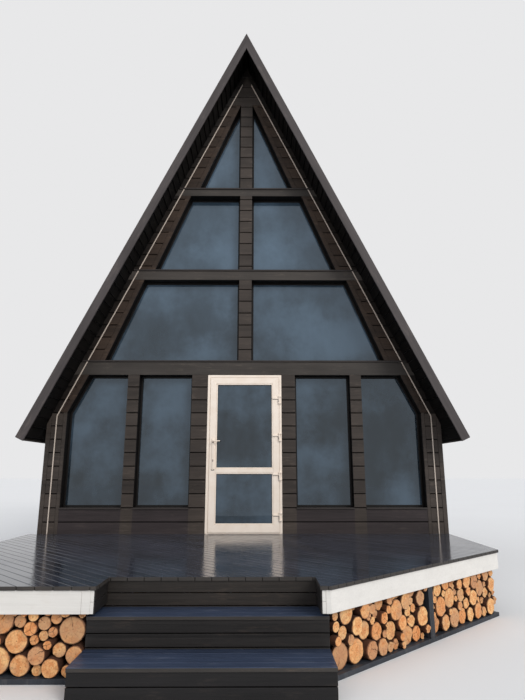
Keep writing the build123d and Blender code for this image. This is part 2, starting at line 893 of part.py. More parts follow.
def rest_height(offset, reach):
    """Height of one log's middle over another's that it rests on, at a sideways offset."""
    flat = reach * math.cos(math.pi / log_sides)
    if abs(offset) >= flat:
        return None
    heights = []
    for i in range(1, log_sides // 4 + 1):
        turn = 2 * math.pi * i / log_sides
        heights.append((flat - abs(offset) * math.cos(turn)) / math.sin(turn))
    return min(heights)


def lowest_seat(placed, radius, width):
    """The lowest place in the box where a log of this radius comes to rest."""
    flat = radius * math.cos(math.pi / log_sides)
    best = None
    for step in range(seat_trials + 1):
        x = flat + (width - 2 * flat) * step / seat_trials
        level = flat
        for other_x, other_z, other_radius in placed:
            over = rest_height(x - other_x, radius + other_radius + log_gap)
            if over is not None:
                level = max(level, other_z + over)
        if best is None or level < best[1] - log_gap:
            best = (x, level)
    return best


def pile(width, height, seed):
    """Pack log ends into a box from its floor up; gives middle and radius of each.

    A pocket that a thin log fits in well below the next log is filled first.
    """
    picker = random.Random(seed)
    placed = []
    largest = log_radius_max
    while largest > log_radius_min:
        radius = picker.uniform(log_radius_min, largest)
        x, z = lowest_seat(placed, radius, width)
        thin = log_radius_min * (1.0 + small_log_spread * picker.random())
        thin_x, thin_z = lowest_seat(placed, thin, width)
        if thin_z + thin < z - radius * pocket_share:
            x, z, radius = thin_x, thin_z, thin
        if z + radius <= height:
            placed.append((x, z, radius))
        else:
            largest = largest * log_shrink
    return placed


pile_height = fascia_low - bed_high + log_over
left_bay_low = left_store_left + store_post + log_gap
left_bay_high = left_store_right - log_gap
picker = random.Random(shift_seed)
logs_left = []
for x, z, radius in pile(left_bay_high - left_bay_low, pile_height, left_pile_seed):
    shift = picker.uniform(0.0, log_shift)
    start = (left_bay_low + x, deck_front + log_set_back + shift, bed_high + z)
    logs_left.append(bar(start, (0, 1, 0), radius, log_length - shift, log_sides))
save("logs_left", logs_left)

logs_right = []
bays = [
    (first_log_at, middle_post_at - store_post / 2 - log_gap, middle_pile_seed),
    (middle_post_at + store_post / 2 + log_gap, right_end, right_pile_seed),
]
for low, high, seed in bays:
    for along, z, radius in pile(high - low, pile_height, seed):
        shift = picker.uniform(0.0, log_shift)
        at = low + along
        x, y = on_edge(at, log_set_back + shift)
        room = (at - radius) * edge_ux + corner_front_x - step_right - store_clear
        length = min(log_length, room / edge_uy - log_set_back) - shift
        logs_right.append(bar((x, y, bed_high + z), (-edge_uy, edge_ux, 0), radius, length, log_sides))
save("logs_right", logs_right)
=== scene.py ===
"""A-frame cabin with its deck, steps and log stores, finished for a studio picture.

Lengths are in metres. X runs to the right, Y from the front wall into the cabin and Z up.
"""
import bmesh
import bpy
import math
import random
from mathutils import Matrix, Vector


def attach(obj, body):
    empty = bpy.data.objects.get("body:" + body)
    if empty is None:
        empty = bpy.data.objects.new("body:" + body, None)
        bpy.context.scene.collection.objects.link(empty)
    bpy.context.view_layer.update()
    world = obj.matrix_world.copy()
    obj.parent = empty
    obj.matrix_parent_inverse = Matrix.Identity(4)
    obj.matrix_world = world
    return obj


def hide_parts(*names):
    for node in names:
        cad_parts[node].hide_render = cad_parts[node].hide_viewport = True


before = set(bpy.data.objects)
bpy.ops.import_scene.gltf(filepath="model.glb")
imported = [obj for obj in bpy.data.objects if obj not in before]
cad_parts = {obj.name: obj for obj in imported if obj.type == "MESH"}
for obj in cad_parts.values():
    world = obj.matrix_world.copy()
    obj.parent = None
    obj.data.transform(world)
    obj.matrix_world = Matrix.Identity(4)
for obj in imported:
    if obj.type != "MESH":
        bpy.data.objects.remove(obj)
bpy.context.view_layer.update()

# Camera at the photograph's place
camera_data = bpy.data.cameras.new("camera")
camera_data.sensor_width = 36.0
camera_data.lens = 27.05
camera_data.clip_end = 400.0
camera = bpy.data.objects.new("camera", camera_data)
bpy.context.scene.collection.objects.link(camera)
camera.location = (0.191, -7.097, 1.398)
camera.rotation_euler = (math.radians(103.057), 0.0, math.radians(-0.421))
bpy.context.scene.camera = camera

# Main sizes of the cabin; heights are over the deck unless they are named otherwise
deck_top = 0.625
half_width = 2.64
cabin_length = 6.0
wall_thick = 0.2
side_wall_thick = 0.15
overhang = 0.45
roof_angle = math.radians(64.7)
cos_a = math.cos(roof_angle)
sin_a = math.sin(roof_angle)
run_per_rise = cos_a / sin_a
soffit_peak = 1.395 + half_width / run_per_rise
soffit_thick = 0.018
roof_depth = 0.097
barge_thick = 0.028
slope_length = (half_width + 0.114) / cos_a
core_end = slope_length - 0.02
roof_front = -overhang + barge_thick
roof_rear = cabin_length + overhang - barge_thick
knee_height = 1.55
beams = [(2.067, 2.25), (3.445, 3.58), (4.767, 4.872)]
ledge_thick = 0.02
ledge_reach = 0.015
panes_peak = soffit_peak - 0.658
sill_high = 0.302
half_mullion = 0.088
pier_inner = half_width - 0.256
post_inner = 1.437
post_outer = 1.591
door_post_left = 0.716
door_post_right = 0.686
strip_over_beam = 0.3
strip_under_beam = 0.228
strip_ground = 0.192
half_door = 0.5

# Cladding courses, and the flat trims that stand a little proud of them
course_pitch = 0.1755
first_course = deck_top + 0.145 - course_pitch
course_gap = 0.012
course_depth = 0.021
saw_over = 0.01
rake_trim = 0.066
rake_proud = 0.005
corner_trim = 0.058
window_trim = 0.046
trim_proud = 0.004
trim_back = 0.02
trim_joint = 0.003

# Windows; those of the rear wall by their left, right, low and high edges right of the middle
frame_front = 0.1395
frame_back = 0.1845
frame_bar = 0.026
rear_panes = [(0.35, 1.65, 0.9, 1.95), (0.08, 0.9, 2.55, 3.35)]
rear_trim = 0.06
rear_trim_proud = 0.012
cut_over = 0.1

# Behind this depth, and up to this half width, wall parts are nearly black: dark stain with painted shade in
# the grooves and reveals
reveal_start = course_depth - 0.005
reveal_end = half_width - 0.01

# Light strips: their middle line's distance under the soffit and in from the corner, and their size
light_under = 0.068
light_from_corner = 0.127
light_half = 0.007
light_proud = 0.009
light_edge = 0.0018

# Roof sheets, seams, ridge cap, barges and soffit boards; their heights are over the soffit's face
ridge_over = 0.6
sheet_depth = 0.08
seam_low = 0.078
seam_high = 0.0955
seam_pitch = 0.46
seam_end = 0.02
seam_thick = 0.014
seam_short = 0.004
cap_end = 0.16
cap_sheet = 0.004
cap_lip_high = 0.1
barge_low = -0.01
barge_high = 0.101
soffit_pitch = 0.142
soffit_gap = 0.007
soffit_step = 0.01

# Door: its frame, its leaf and its panes
door_height = 2.065
door_bar = 0.031
threshold = 0.008
rebate = 0.006
rebate_deep = 0.008
rebate_deep_left = 0.01
lip_reach = 0.014
lip_front = 0.058
lip_back = 0.07
leaf_left = -0.46
leaf_right = 0.463
leaf_low = 0.639
leaf_high = 2.653
leaf_front = -0.006
leaf_back = 0.052
leaf_step = 0.008
leaf_step_left = 0.007
pane_left = -0.364
pane_right = 0.367
door_panes = [(0.753, 1.372), (1.456, 2.554)]
bead = 0.016
bead_step = 0.003
rubber_width = 0.004
rubber_step = 0.008
glass_half = 0.012

# Hinges
hinge_x = 0.466
hinge_y = -0.02
hinge_heights = [0.835, 1.345, 1.85, 2.35]
barrel_half = 0.031
barrel_radius = 0.009
pin_radius = 0.004
pin_sides = 16
flag_corner = 0.004
end_barrel = 0.018
end_barrel_edge = 0.0015
barrel_gap = 0.0055
flag_reach = 0.088
flag_thick = 0.009
flag_low = 0.009
flag_joint = 0.0045
# Dark rubber strips under each flag and beside each barrel, which stand in for the shadow lines there
shadow_strip_thick = 0.004
shadow_strip_low = 0.005
shadow_strip_high = 0.003
shadow_strip_in = 0.013
hinge_plate_half = 0.004
hinge_plate_end = half_door - 0.004

# Lever, plates and lock
lever_x = -0.412
lever_z = 1.795
spindle_radius = 0.008
bore_radius = 0.0087
plate_thick = 0.009
plate_half = 0.018
plate_low = 1.425
plate_high = 1.831
plate_corner = 0.012
# A dark strip under the low end of the front plate stands in for the shadow there
plate_shadow_over = 0.003
plate_shadow_low = plate_low - 0.007
plate_shadow_high = plate_low + 0.006
lock_z = 1.55
lock_radius = 0.009
lock_sides = 24
lock_proud = 0.004
key_half = 0.0007
key_deep = 0.002
key_reach = 0.0045
tail_half = 0.0055
tail_low = lock_z - 0.024
tail_high = lock_z - 0.0095
tail_corner = 0.004
# The lever's dark collar also stands in for the shade under the grip
collar_z = lever_z - 0.003
collar_radius = 0.0165
collar_sides = 28
collar_thick = 0.003
collar_edge = 0.0008
grip_out = 0.05
grip_thick = 0.012
grip_low = lever_z - 0.003
grip_high = lever_z + 0.0095
grip_end = lever_x + 0.094
grip_corner = 0.005
grip_edge = 0.0035

# Deck and steps
board_thick = 0.027
deck_under = deck_top - board_thick
deck_left = -half_width - 0.11
deck_right = half_width
deck_front = -3.165
notch_left = -0.935
notch_right = 0.623
notch_back = -2.835
corner_front_x = 0.7
corner_side_y = -1.42
deck_board_pitch = 0.09
deck_board_gap = 0.005
deck_board_phase = -1.398
deck_board_ends = (-2.3, 3.1)
fascia_low = deck_under - 0.155
fascia_in = 0.012
fascia_thick = 0.025
fascia_offcut = 0.062
step_left = -1.01
step_right = 0.69
tread_1_front = -3.092
tread_2_front = -3.45
tread_gap = 0.004
riser_thick = 0.025
riser_gap = 0.006
tread_nose = 0.014
rise = deck_top / 3
notch_lining = 0.01

# Log stores under the deck
bed_high = 0.035
bed_front = 0.04
bed_back = 0.315
bed_board = 0.09
store_post = 0.07
store_back = 0.4
skirt_thick = 0.025
skirt_board = 0.15
skirt_clear = 0.15
skirt_back = -0.06
middle_post_share = 0.514
right_store_end = 0.022

# Logs of unit radius and length, which each pile scales
log_sides = 18
log_seeds = (3, 8, 15, 21)
bark_depth = 0.03
bark_rim = 0.05
end_bevel = 0.012
end_proud = 0.02
end_radius = 0.93
end_inset = 0.4
pith_offset = 0.18

# How far edges are rounded, from metal and rubber up to thick timber
fine_edge = 0.001
slim_edge = 0.0012
trim_edge = 0.002
profile_edge = 0.0022
thin_edge = 0.0025
board_edge = 0.003
beam_edge = 0.004
bead_edge = 0.005

# The gap that keeps neighbours apart, the gap between stacked boards, and the least board worth laying
hair = 0.001
stack_gap = 0.003
least_board = 0.02

# Round bars have this many sides, unless they are named otherwise
round_sides = 20

# Lengths too short to count, and how square to an axis a face has to be to be picked as facing it
tiny = 1e-6
weld = 1e-5
square = 0.9


# Modelling by hand: selection, blocks, saw cuts, softened edges, rows and joins

def choose(*pieces):
    """Select these pieces and nothing else."""
    bpy.ops.object.select_all(action="DESELECT")
    for piece in pieces:
        piece.select_set(True)
    bpy.context.view_layer.objects.active = pieces[0]


def opened(piece):
    """Start to edit a piece, with all of it selected."""
    choose(piece)
    bpy.ops.object.mode_set(mode="EDIT")
    bpy.ops.mesh.select_all(action="SELECT")


def closed(piece):
    """Stop editing a piece."""
    bpy.ops.object.mode_set(mode="OBJECT")
    return piece


def pick(piece, kind, wanted):
    """Of an opened piece, select those verts, edges or faces that are wanted, and nothing else."""
    bpy.context.tool_settings.mesh_select_mode = [kind == each for each in ("verts", "edges", "faces")]
    bpy.ops.mesh.select_all(action="DESELECT")
    for part in getattr(bmesh.from_edit_mesh(piece.data), kind):
        if wanted(part):
            part.select_set(True)
    bmesh.update_edit_mesh(piece.data)


def bevel(width, steps):
    """Round the selected edges of an opened piece."""
    bpy.ops.mesh.bevel(offset=width, segments=steps, affect="EDGES", clamp_overlap=True)


def named(name):
    """The primitive that was just added, with its name, and with its place in its mesh."""
    piece = bpy.context.object
    piece.name = name
    piece.data.name = name
    bpy.ops.object.transform_apply(location=True, rotation=True, scale=True)
    return piece


def block(name, low, high):
    """A block between two corners."""
    bpy.ops.object.select_all(action="DESELECT")
    centre = [(a + b) / 2 for a, b in zip(low, high)]
    size = [b - a for a, b in zip(low, high)]
    bpy.ops.mesh.primitive_cube_add(size=1.0, location=centre, scale=size)
    return named(name)


def soften(piece, width, steps=2):
    """Take the sharpness off every edge."""
    opened(piece)
    bevel(width, steps)
    return closed(piece)


def plank(name, low, high, edge=board_edge):
    """A board with softened edges."""
    return soften(block(name, low, high), edge)


def saw(piece, *cuts):
    """Saw a piece along planes, each a point and the direction of what falls away."""
    opened(piece)
    for point, away in cuts:
        point = Vector(point)
        away = Vector(away).normalized()
        reach = [(v.co - point).dot(away) for v in bmesh.from_edit_mesh(piece.data).verts]
        if not reach or max(reach) < tiny:
            continue
        bpy.ops.mesh.select_all(action="SELECT")
        bpy.ops.mesh.bisect(plane_co=point, plane_no=away, use_fill=True, clear_outer=True, threshold=tiny)
    return closed(piece)


def outline_cuts(outline, in_plan=False):
    """The saw cuts that leave what lies inside a convex outline in X and Z, or in plan in X and Y."""
    middle = Vector((sum(p[0] for p in outline), sum(p[1] for p in outline))) / len(outline)
    cuts = []
    for start, end in zip(outline, outline[1:] + outline[:1]):
        a = Vector(start)
        b = Vector(end)
        away = Vector((b.y - a.y, a.x - b.x))
        if (middle - a).dot(away) > 0:
            away.negate()
        if in_plan:
            cuts.append(((a.x, a.y, 0.0), (away.x, away.y, 0.0)))
        else:
            cuts.append(((a.x, 0.0, a.y), (away.x, 0.0, away.y)))
    return cuts


def spread(outline):
    """How far an outline reaches: left, right, low and high."""
    xs, zs = zip(*outline)
    return min(xs), max(xs), min(zs), max(zs)


def rectangle(x_low, x_high, z_low, z_high):
    """A rectangle in X and Z."""
    return [(x_low, z_low), (x_high, z_low), (x_high, z_high), (x_low, z_high)]


def shrunk(outline, by):
    """A rectangle made smaller all round, or larger if by is negative."""
    x_low, x_high, z_low, z_high = spread(outline)
    return rectangle(x_low + by, x_high - by, z_low + by, z_high - by)


def prism(name, outline, front, back):
    """A solid with a convex outline in X and Z."""
    x_low, x_high, z_low, z_high = spread(outline)
    return saw(block(name, (x_low, front, z_low), (x_high, back, z_high)), *outline_cuts(outline))


def row(piece, count, step):
    """Repeat a piece in a straight row."""
    choose(piece)
    array = piece.modifiers.new("row", "ARRAY")
    array.use_relative_offset = False
    array.use_constant_offset = True
    array.constant_offset_displace = step
    array.count = count
    bpy.ops.object.modifier_apply(modifier="row")
    return piece


def placed(piece, turn=(0.0, 0.0, 0.0), move=(0.0, 0.0, 0.0), size=(1.0, 1.0, 1.0)):
    """Scale a piece, turn it about the origin and move it, and leave its place in its mesh."""
    choose(piece)
    piece.rotation_euler = turn
    piece.location = move
    piece.scale = size
    bpy.ops.object.transform_apply(location=True, rotation=True, scale=True)
    return piece


def twin(piece):
    """A copy with its own mesh."""
    other = piece.copy()
    other.data = piece.data.copy()
    bpy.context.scene.collection.objects.link(other)
    return other


def on_the_left(parts):
    """The same parts on the left of the middle, mirrored, with their faces outwards again."""
    others = []
    for part in parts:
        other = placed(twin(part), size=(-1.0, 1.0, 1.0))
        opened(other)
        bpy.ops.mesh.normals_make_consistent(inside=False)
        others.append(closed(other))
    return others


def joined(name, parts):
    """Make several parts one piece."""
    choose(*parts)
    if len(parts) > 1:
        bpy.ops.object.join()
    parts[0].name = name
    parts[0].data.name = name
    return parts[0]


def carved(piece, cutter):
    """Cut another solid out of a piece."""
    choose(piece)
    cut = piece.modifiers.new("cut", "BOOLEAN")
    cut.operation = "DIFFERENCE"
    cut.solver = "EXACT"
    cut.object = cutter
    bpy.ops.object.modifier_apply(modifier="cut")
    bpy.data.objects.remove(cutter, do_unlink=True)
    return piece


def ring(name, outline, bar, front, back):
    """A frame of even width inside a convex outline, with softened edges."""
    piece = prism(name, outline, front, back)
    opened(piece)
    pick(piece, "faces", lambda face: abs(face.normal.y) > square)
    bpy.ops.mesh.inset(thickness=bar, use_even_offset=True)
    bpy.ops.mesh.bridge_edge_loops()
    bpy.ops.mesh.select_all(action="SELECT")
    bpy.ops.mesh.normals_make_consistent(inside=False)
    bevel(trim_edge, 1)
    return closed(piece)


def smooth(piece, degrees=35):
    """Smooth shading on the round parts."""
    choose(piece)
    bpy.ops.object.shade_smooth_by_angle(angle=math.radians(degrees))
    return piece


def roof_x(height, depth):
    """Half width of the roof plane at a depth over the soffit, at a height over the deck."""
    return (soffit_peak + depth / cos_a - height) * run_per_rise


def roof_z(x, depth):
    """Height over the deck of that roof plane at a half width."""
    return soffit_peak + depth / cos_a - x / run_per_rise


def lifted(outline):
    """An outline over the deck, at its height over the ground."""
    return [(x, z + deck_top) for x, z in outline]


def flipped(outline):
    """The outline on the other side of the middle."""
    return [(-x, z) for x, z in outline]


def boards_over(name, outline):
    """Level boards over a convex outline in X and Z, with a groove between the courses."""
    x_low, x_high, z_low, z_high = spread(outline)
    low = first_course + math.floor((z_low - first_course) / course_pitch) * course_pitch
    count = math.ceil((z_high - low) / course_pitch)
    board = block(name, (x_low - saw_over, 0.0, low + course_gap / 2),
                  (x_high + saw_over, course_depth, low + course_pitch - course_gap / 2))
    row(soften(board, board_edge, 1), count, (0.0, 0.0, course_pitch))
    return saw(board, *outline_cuts(outline))


def clad(name, outline):
    """A part of the front wall: level boards on its face and the solid wall behind them."""
    return joined(name, [boards_over(name, outline), prism(name, outline, course_depth, wall_thick)])


def painted(piece, *materials):
    """Give a piece these materials in place of any others."""
    piece.data.materials.clear()
    for material in materials:
        piece.data.materials.append(material)


def keep(piece, node=None, material=None, body="cabin"):
    """Give a finished piece its material, hang it on the body that it rides on, and hide the solid that it
    stands for.
    """
    if material:
        painted(piece, material)
    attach(piece, body)
    if node:
        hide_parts(node)


# Shader work

def tint(red, green, blue):
    """A colour as it is seen, 0 to 255, as the shader wants it."""
    parts = [part / 255.0 for part in (red, green, blue)]
    return (*[p / 12.92 if p <= 0.04045 else ((p + 0.055) / 1.055) ** 2.4 for p in parts], 1.0)


class Wire:
    """A value between shader nodes. Sums and products of it add the nodes that work them out."""

    def __init__(self, nodes, socket):
        self.nodes = nodes
        self.socket = socket

    def __add__(self, other):
        return self.nodes.maths("ADD", self, other)

    def __radd__(self, other):
        return self.nodes.maths("ADD", other, self)

    def __sub__(self, other):
        return self.nodes.maths("SUBTRACT", self, other)

    def __rsub__(self, other):
        return self.nodes.maths("SUBTRACT", other, self)

    def __mul__(self, other):
        return self.nodes.maths("MULTIPLY", self, other)

    def __rmul__(self, other):
        return self.nodes.maths("MULTIPLY", other, self)

    def __truediv__(self, other):
        return self.nodes.maths("DIVIDE", self, other)

    def __pow__(self, other):
        return self.nodes.maths("POWER", self, other)


class Nodes:
    """The shader nodes of a material or of the world."""

    def __init__(self, owner):
        owner.use_nodes = True
        self.tree = owner.node_tree
        self.tree.nodes.clear()

    def add(self, kind, settings=None, inputs=None, output=0):
        """Any node: its settings first, then the values or wires of its sockets."""
        node = self.tree.nodes.new(kind)
        for name, value in (settings or {}).items():
            setattr(node, name, value)
        for name, value in (inputs or {}).items():
            if isinstance(value, Wire):
                self.tree.links.new(value.socket, node.inputs[name])
            else:
                node.inputs[name].default_value = value
        return Wire(self, node.outputs[output]) if node.outputs else None

    def maths(self, operation, *terms):
        """A sum on values."""
        return self.add("ShaderNodeMath", {"operation": operation}, dict(enumerate(terms)))


class Finish(Nodes):
    """One material, built up from nodes."""

    def __init__(self, name):
        self.material = bpy.data.materials.new(name)
        super().__init__(self.material)
        self.place = self.add("ShaderNodeTexCoord", output="Object")

    def clamped(self, value, low=0.0, high=1.0):
        """A value kept between two limits."""
        return self.add("ShaderNodeClamp", None, {"Value": value, "Min": low, "Max": high})

    def band(self, value, low, high):
        """0 below low, 1 above high, smooth between."""
        return self.add("ShaderNodeMapRange", {"interpolation_type": "SMOOTHSTEP"},
                        {"Value": value, "From Min": low, "From Max": high})

    def along(self, direction):
        """How far a point lies along a direction."""
        return self.add("ShaderNodeVectorMath", {"operation": "DOT_PRODUCT"},
                        {0: self.place, 1: direction}, "Value")

    def vector(self, x, y, z):
        """A vector from three values."""
        return self.add("ShaderNodeCombineXYZ", None, {0: x, 1: y, 2: z})

    def scaled(self, x, y, z):
        """The place of a point, its three directions multiplied."""
        return self.add("ShaderNodeVectorMath", {"operation": "MULTIPLY"}, {0: self.place, 1: (x, y, z)})

    def mark(self, name, output="Fac"):
        """What was written on a log's corners under a name."""
        return self.add("ShaderNodeAttribute", {"attribute_name": name}, None, output)

    def noise(self, vector, scale=1.0, detail=3.0, roughness=0.5):
        """Smooth noise, about 0.3 to 0.7."""
        return self.add("ShaderNodeTexNoise", None,
                        {"Vector": vector, "Scale": scale, "Detail": detail, "Roughness": roughness})

    def mixed(self, factor, first, second):
        """Two colours mixed."""
        return self.add("ShaderNodeMix", {"data_type": "RGBA"}, {0: factor, 6: first, 7: second}, 2)

    def surface(self, colour, roughness, height=None, depth=0.001, **fixed):
        """The surface itself: colour, roughness and relief may vary, the rest is the same all over."""
        inputs = {"Base Color": colour, "Roughness": roughness}
        if height is not None:
            inputs["Normal"] = self.add("ShaderNodeBump", None,
                                        {"Height": height, "Distance": depth, "Strength": 1.0})
        for name, value in fixed.items():
            inputs[name.replace("_", " ")] = value
        shader = self.add("ShaderNodeBsdfPrincipled", None, inputs)
        self.add("ShaderNodeOutputMaterial", None, {"Surface": shader})
        return self.material


def timber(name, deep, pale, wear, worn, along, across, boards, rough=0.5, relief=0.0012, shine=0.25,
           painted_roof_shade=False):
    """Stained or painted boards: grain along them, each board with its own tone, and if asked painted shade,
    nearly black, close under the roof.

    boards holds the boards' pitch across them and where the first one starts.
    """
    finish = Finish(name)
    pitch, start = boards
    along = Vector(along).normalized()
    across = Vector(across).normalized()
    u = finish.along(along)
    v = finish.along(across)
    w = finish.along(along.cross(across))
    board = finish.maths("FLOOR", (v - start) / pitch)
    tone = finish.add("ShaderNodeTexWhiteNoise", {"noise_dimensions": "1D"}, {"W": board + 0.37}, "Value")
    fibre = finish.noise(finish.vector(u * 2.2 + board * 3.7, v * 85.0, w * 85.0), 1.0, 5.0, 0.6)
    figure = finish.noise(finish.vector(u * 0.7 + board * 11.3, v * 11.0, w * 11.0))
    weather = finish.noise(finish.place, 1.7, 4.0, 0.6)
    share = finish.clamped(tone * 0.3 + fibre * 0.75 + figure * 0.6 + weather * 0.5 - 0.6)
    colour = finish.mixed(share, tint(*deep), tint(*pale))
    if wear:
        scuff = finish.noise(finish.vector(u * 5.0, v * 28.0, w * 28.0), 1.0, 6.0, 0.7)
        colour = finish.mixed(finish.band(scuff + weather * 0.4, 0.74, 0.92) * worn, colour, tint(*wear))
    # Painted shade: the boards darken to nearly black close under the roof, where the overhang's shadow
    # falls.
    if painted_roof_shade:
        peak = (deck_top + soffit_peak) * cos_a
        sideways = finish.maths("ABSOLUTE", finish.along((sin_a, 0, 0)))
        under_roof = peak - finish.along((0, 0, cos_a)) - sideways
        colour = finish.mixed((1 - finish.band(under_roof, 0.03, 0.1)) * 0.85, colour, tint(10, 8, 7))
    gloss = finish.clamped(rough + (fibre - 0.5) * 0.35 + (weather - 0.5) * 0.3, 0.05, 1.0)
    return finish.surface(colour, gloss, fibre + figure * 0.6, relief, Specular_IOR_Level=shine)


def wall_stain(name, along, painted_roof_shade=False):
    """The stain of the level boards on the walls, with painted shade under the roof if asked."""
    return timber(name, (31, 27, 25), (80, 71, 65), (112, 100, 90), 0.3, along, upright, courses, 0.52,
                  painted_roof_shade=painted_roof_shade)


def barge_stain(name, side):
    """The stain of the barge boards on the right slope, or on the left one if side is -1."""
    return timber(name, (42, 38, 38), (86, 80, 80), (118, 108, 102), 0.3, (side * cos_a, 0, -sin_a),
                  (side * sin_a, 0, cos_a), (2.0, 0.0), 0.5, 0.0008)


# Directions of the grain, and the pitch and the start of boards across it
level = (1, 0, 0)
inward = (0, 1, 0)
upright = (0, 0, 1)
courses = (course_pitch, first_course)
broad = (0.5, 0.0)
single = (5.0, 0.0)
risers = (deck_board_pitch, 0.004)
cladding = wall_stain("cladding_stain", level)
# The peak's boards carry painted shade, nearly black close under the roof.
peak_stain_roof_shade = wall_stain("peak_cladding_stain_roof_shade", level, painted_roof_shade=True)
side_cladding = wall_stain("side_cladding_stain", inward)
sill_stain = timber("sill_stain", (22, 19, 20), (66, 58, 59), (96, 86, 80), 0.25, level, upright, courses,
                    0.52)
beam_stain = timber("beam_stain", (38, 35, 32), (80, 74, 70), (112, 102, 92), 0.3, level, upright, broad,
                    relief=0.0008)
barge_right_stain = barge_stain("barge_stain_right", 1)
barge_left_stain = barge_stain("barge_stain_left", -1)
# Nearly black: dark stain with painted shade under the overhang.
soffit_stain_and_shade = timber("soffit_stain_and_shade", (5, 5, 5), (24, 22, 22), None, 0, inward, upright,
                      (soffit_pitch * sin_a, 0.0), relief=0.001, shine=0.08)
deck_stain = timber("deck_stain", (25, 29, 36), (71, 75, 88), (104, 104, 112), 0.25, (1, -1, 0), (1, 1, 0),
                    (deck_board_pitch, deck_board_phase), 0.13, 0.0005, 0.5)
# Painted reflection: the tread tops are tinted blue for the sky they mirror.
tread_stain_sky_reflection = timber("tread_stain_sky_reflection", (30, 38, 54), (66, 78, 102), (104, 108, 122), 0.35, level, inward,
                     (deck_board_pitch, tread_2_front), 0.38)
# A lighter copy of the step stain: painted light on the boards' edges and nosings, with real wear.
nosing_stain_lit = timber("nosing_stain_lit", (34, 32, 31), (70, 66, 63), (108, 92, 80), 0.3, level, upright, broad)
# Painted shade: the same riser stain three times, darker from the top riser down, for the shade on the lower
# risers; the wear is real.
riser_stains_by_shade = [
    timber(name, deep, pale, wear, 0.25, level, upright, risers) for name, deep, pale, wear in (
        ("top_riser_stain_least_shade", (24, 22, 20), (62, 56, 52), (92, 78, 68)),
        ("riser_stain", (17, 16, 16), (49, 46, 45), (78, 66, 58)),
        ("low_riser_stain_most_shade", (11, 11, 11), (35, 33, 34), (64, 56, 50)),
    )
]
side_riser_stain = timber("side_riser_stain", (16, 15, 15), (46, 43, 42), (78, 66, 58), 0.25, inward,
                          upright, risers)
store_stain = timber("store_stain", (30, 33, 38), (66, 70, 78), (108, 106, 104), 0.3, upright, level, broad,
                     relief=0.001)
skirt_stain = timber("skirt_stain", (30, 27, 26), (74, 68, 66), (108, 98, 90), 0.3, (1, 1, 0), upright,
                     (skirt_board, deck_under), 0.55, 0.001)
# The rake strips carry painted shade, nearly black close under the roof.
rake_stain_roof_shade = timber("rake_strip_stain_roof_shade", (26, 20, 17), (74, 59, 49), (108, 88, 72), 0.3, level, upright,
                    courses, 0.52, painted_roof_shade=True)
# Nearly black: dark stain that also stands in for the shade in the reveals and grooves.
reveal_stain_and_shade = timber("reveal_stain_and_shade", (5, 5, 5), (24, 21, 20), None, 0, inward, upright, single, 0.6, 0.0008,
                      0.1)
frame_stain = timber("window_frame_stain", (9, 8, 8), (30, 27, 26), None, 0, upright, level, single, 0.4,
                     0.0004)
ledge_stain = timber("ledge_stain", (30, 27, 26), (66, 60, 58), None, 0, level, inward, single, 0.45, 0.0006)
white_boards = timber("white_board_paint", (206, 203, 198), (232, 229, 224), (196, 186, 174), 0.2, level,
                      upright, broad, relief=0.0005)
plain_timber = timber("plain_timber", (150, 112, 72), (208, 172, 126), None, 0, level, upright, (0.2, 0.0),
                      0.62, 0.001)


def plastic():
    """White door profile: smooth, with a faint unevenness in colour and gloss."""
    finish = Finish("white_door_profile")
    cloud = finish.noise(finish.place, 6.0, 4.0, 0.6)
    fine = finish.noise(finish.place, 420.0, 2.0)
    dust = finish.band(cloud + fine * 0.1, 0.4, 0.75)
    colour = finish.mixed(dust, tint(252, 238, 224), tint(246, 230, 214))
    return finish.surface(colour, finish.clamped(0.26 + cloud * 0.16), fine, 0.0001)


def metal():
    """Brushed metal of the lock and the lever's collar."""
    finish = Finish("fitting_metal")
    cloud = finish.noise(finish.place, 22.0, 4.0, 0.6)
    brushed = finish.noise(finish.scaled(30.0, 30.0, 900.0))
    share = finish.band(cloud * 0.7 + brushed * 0.3, 0.35, 0.65)
    colour = finish.mixed(share, tint(122, 104, 92), tint(166, 148, 134))
    gloss = finish.clamped(0.42 + (brushed - 0.5) * 0.3)
    return finish.surface(colour, gloss, brushed, 0.0001, Metallic=0.85)


def gasket():
    """Black rubber."""
    finish = Finish("rubber_gasket")
    cloud = finish.noise(finish.place, 60.0)
    colour = finish.mixed(cloud, tint(14, 14, 15), tint(34, 33, 34))
    return finish.surface(colour, finish.clamped(0.5 + cloud * 0.3), cloud, 0.0002)


def glazing():
    """Dark coated glass with a faint wave in it, its colour holding painted reflection: paler blue higher up
    and in soft patches.
    """
    finish = Finish("dark_glazing_painted_reflection")
    wave = finish.noise(finish.place, 1.1, 2.0)
    smear_and_reflection = finish.noise(finish.scaled(3.0, 1.0, 1.2), 1.0, 5.0, 0.65)
    cloud = finish.noise(finish.place, 0.8, 5.0, 0.6)
    # Painted reflection: the colour turns paler and bluer towards the top, as if showing the sky, and in
    # soft patches and streaks.
    height = finish.band(finish.along(upright), 1.6, 5.4)
    share = finish.clamped(finish.band(cloud, 0.36, 0.64) * 0.55 + height * 0.45 + (smear_and_reflection - 0.5) * 0.4)
    colour = finish.mixed(share, tint(10, 14, 16), tint(84, 104, 122))
    return finish.surface(colour, finish.clamped(0.012 + (smear_and_reflection - 0.45) * 0.06, 0.01, 0.08), wave, 0.004,
                          IOR=1.85, Specular_Tint=tint(216, 230, 242))


def light_cover():
    """Warm white cover of the light strips."""
    finish = Finish("light_cover")
    cloud = finish.noise(finish.place, 14.0)
    return finish.surface(finish.mixed(cloud, tint(190, 175, 162), tint(208, 194, 182)), 0.4 + cloud * 0.1)


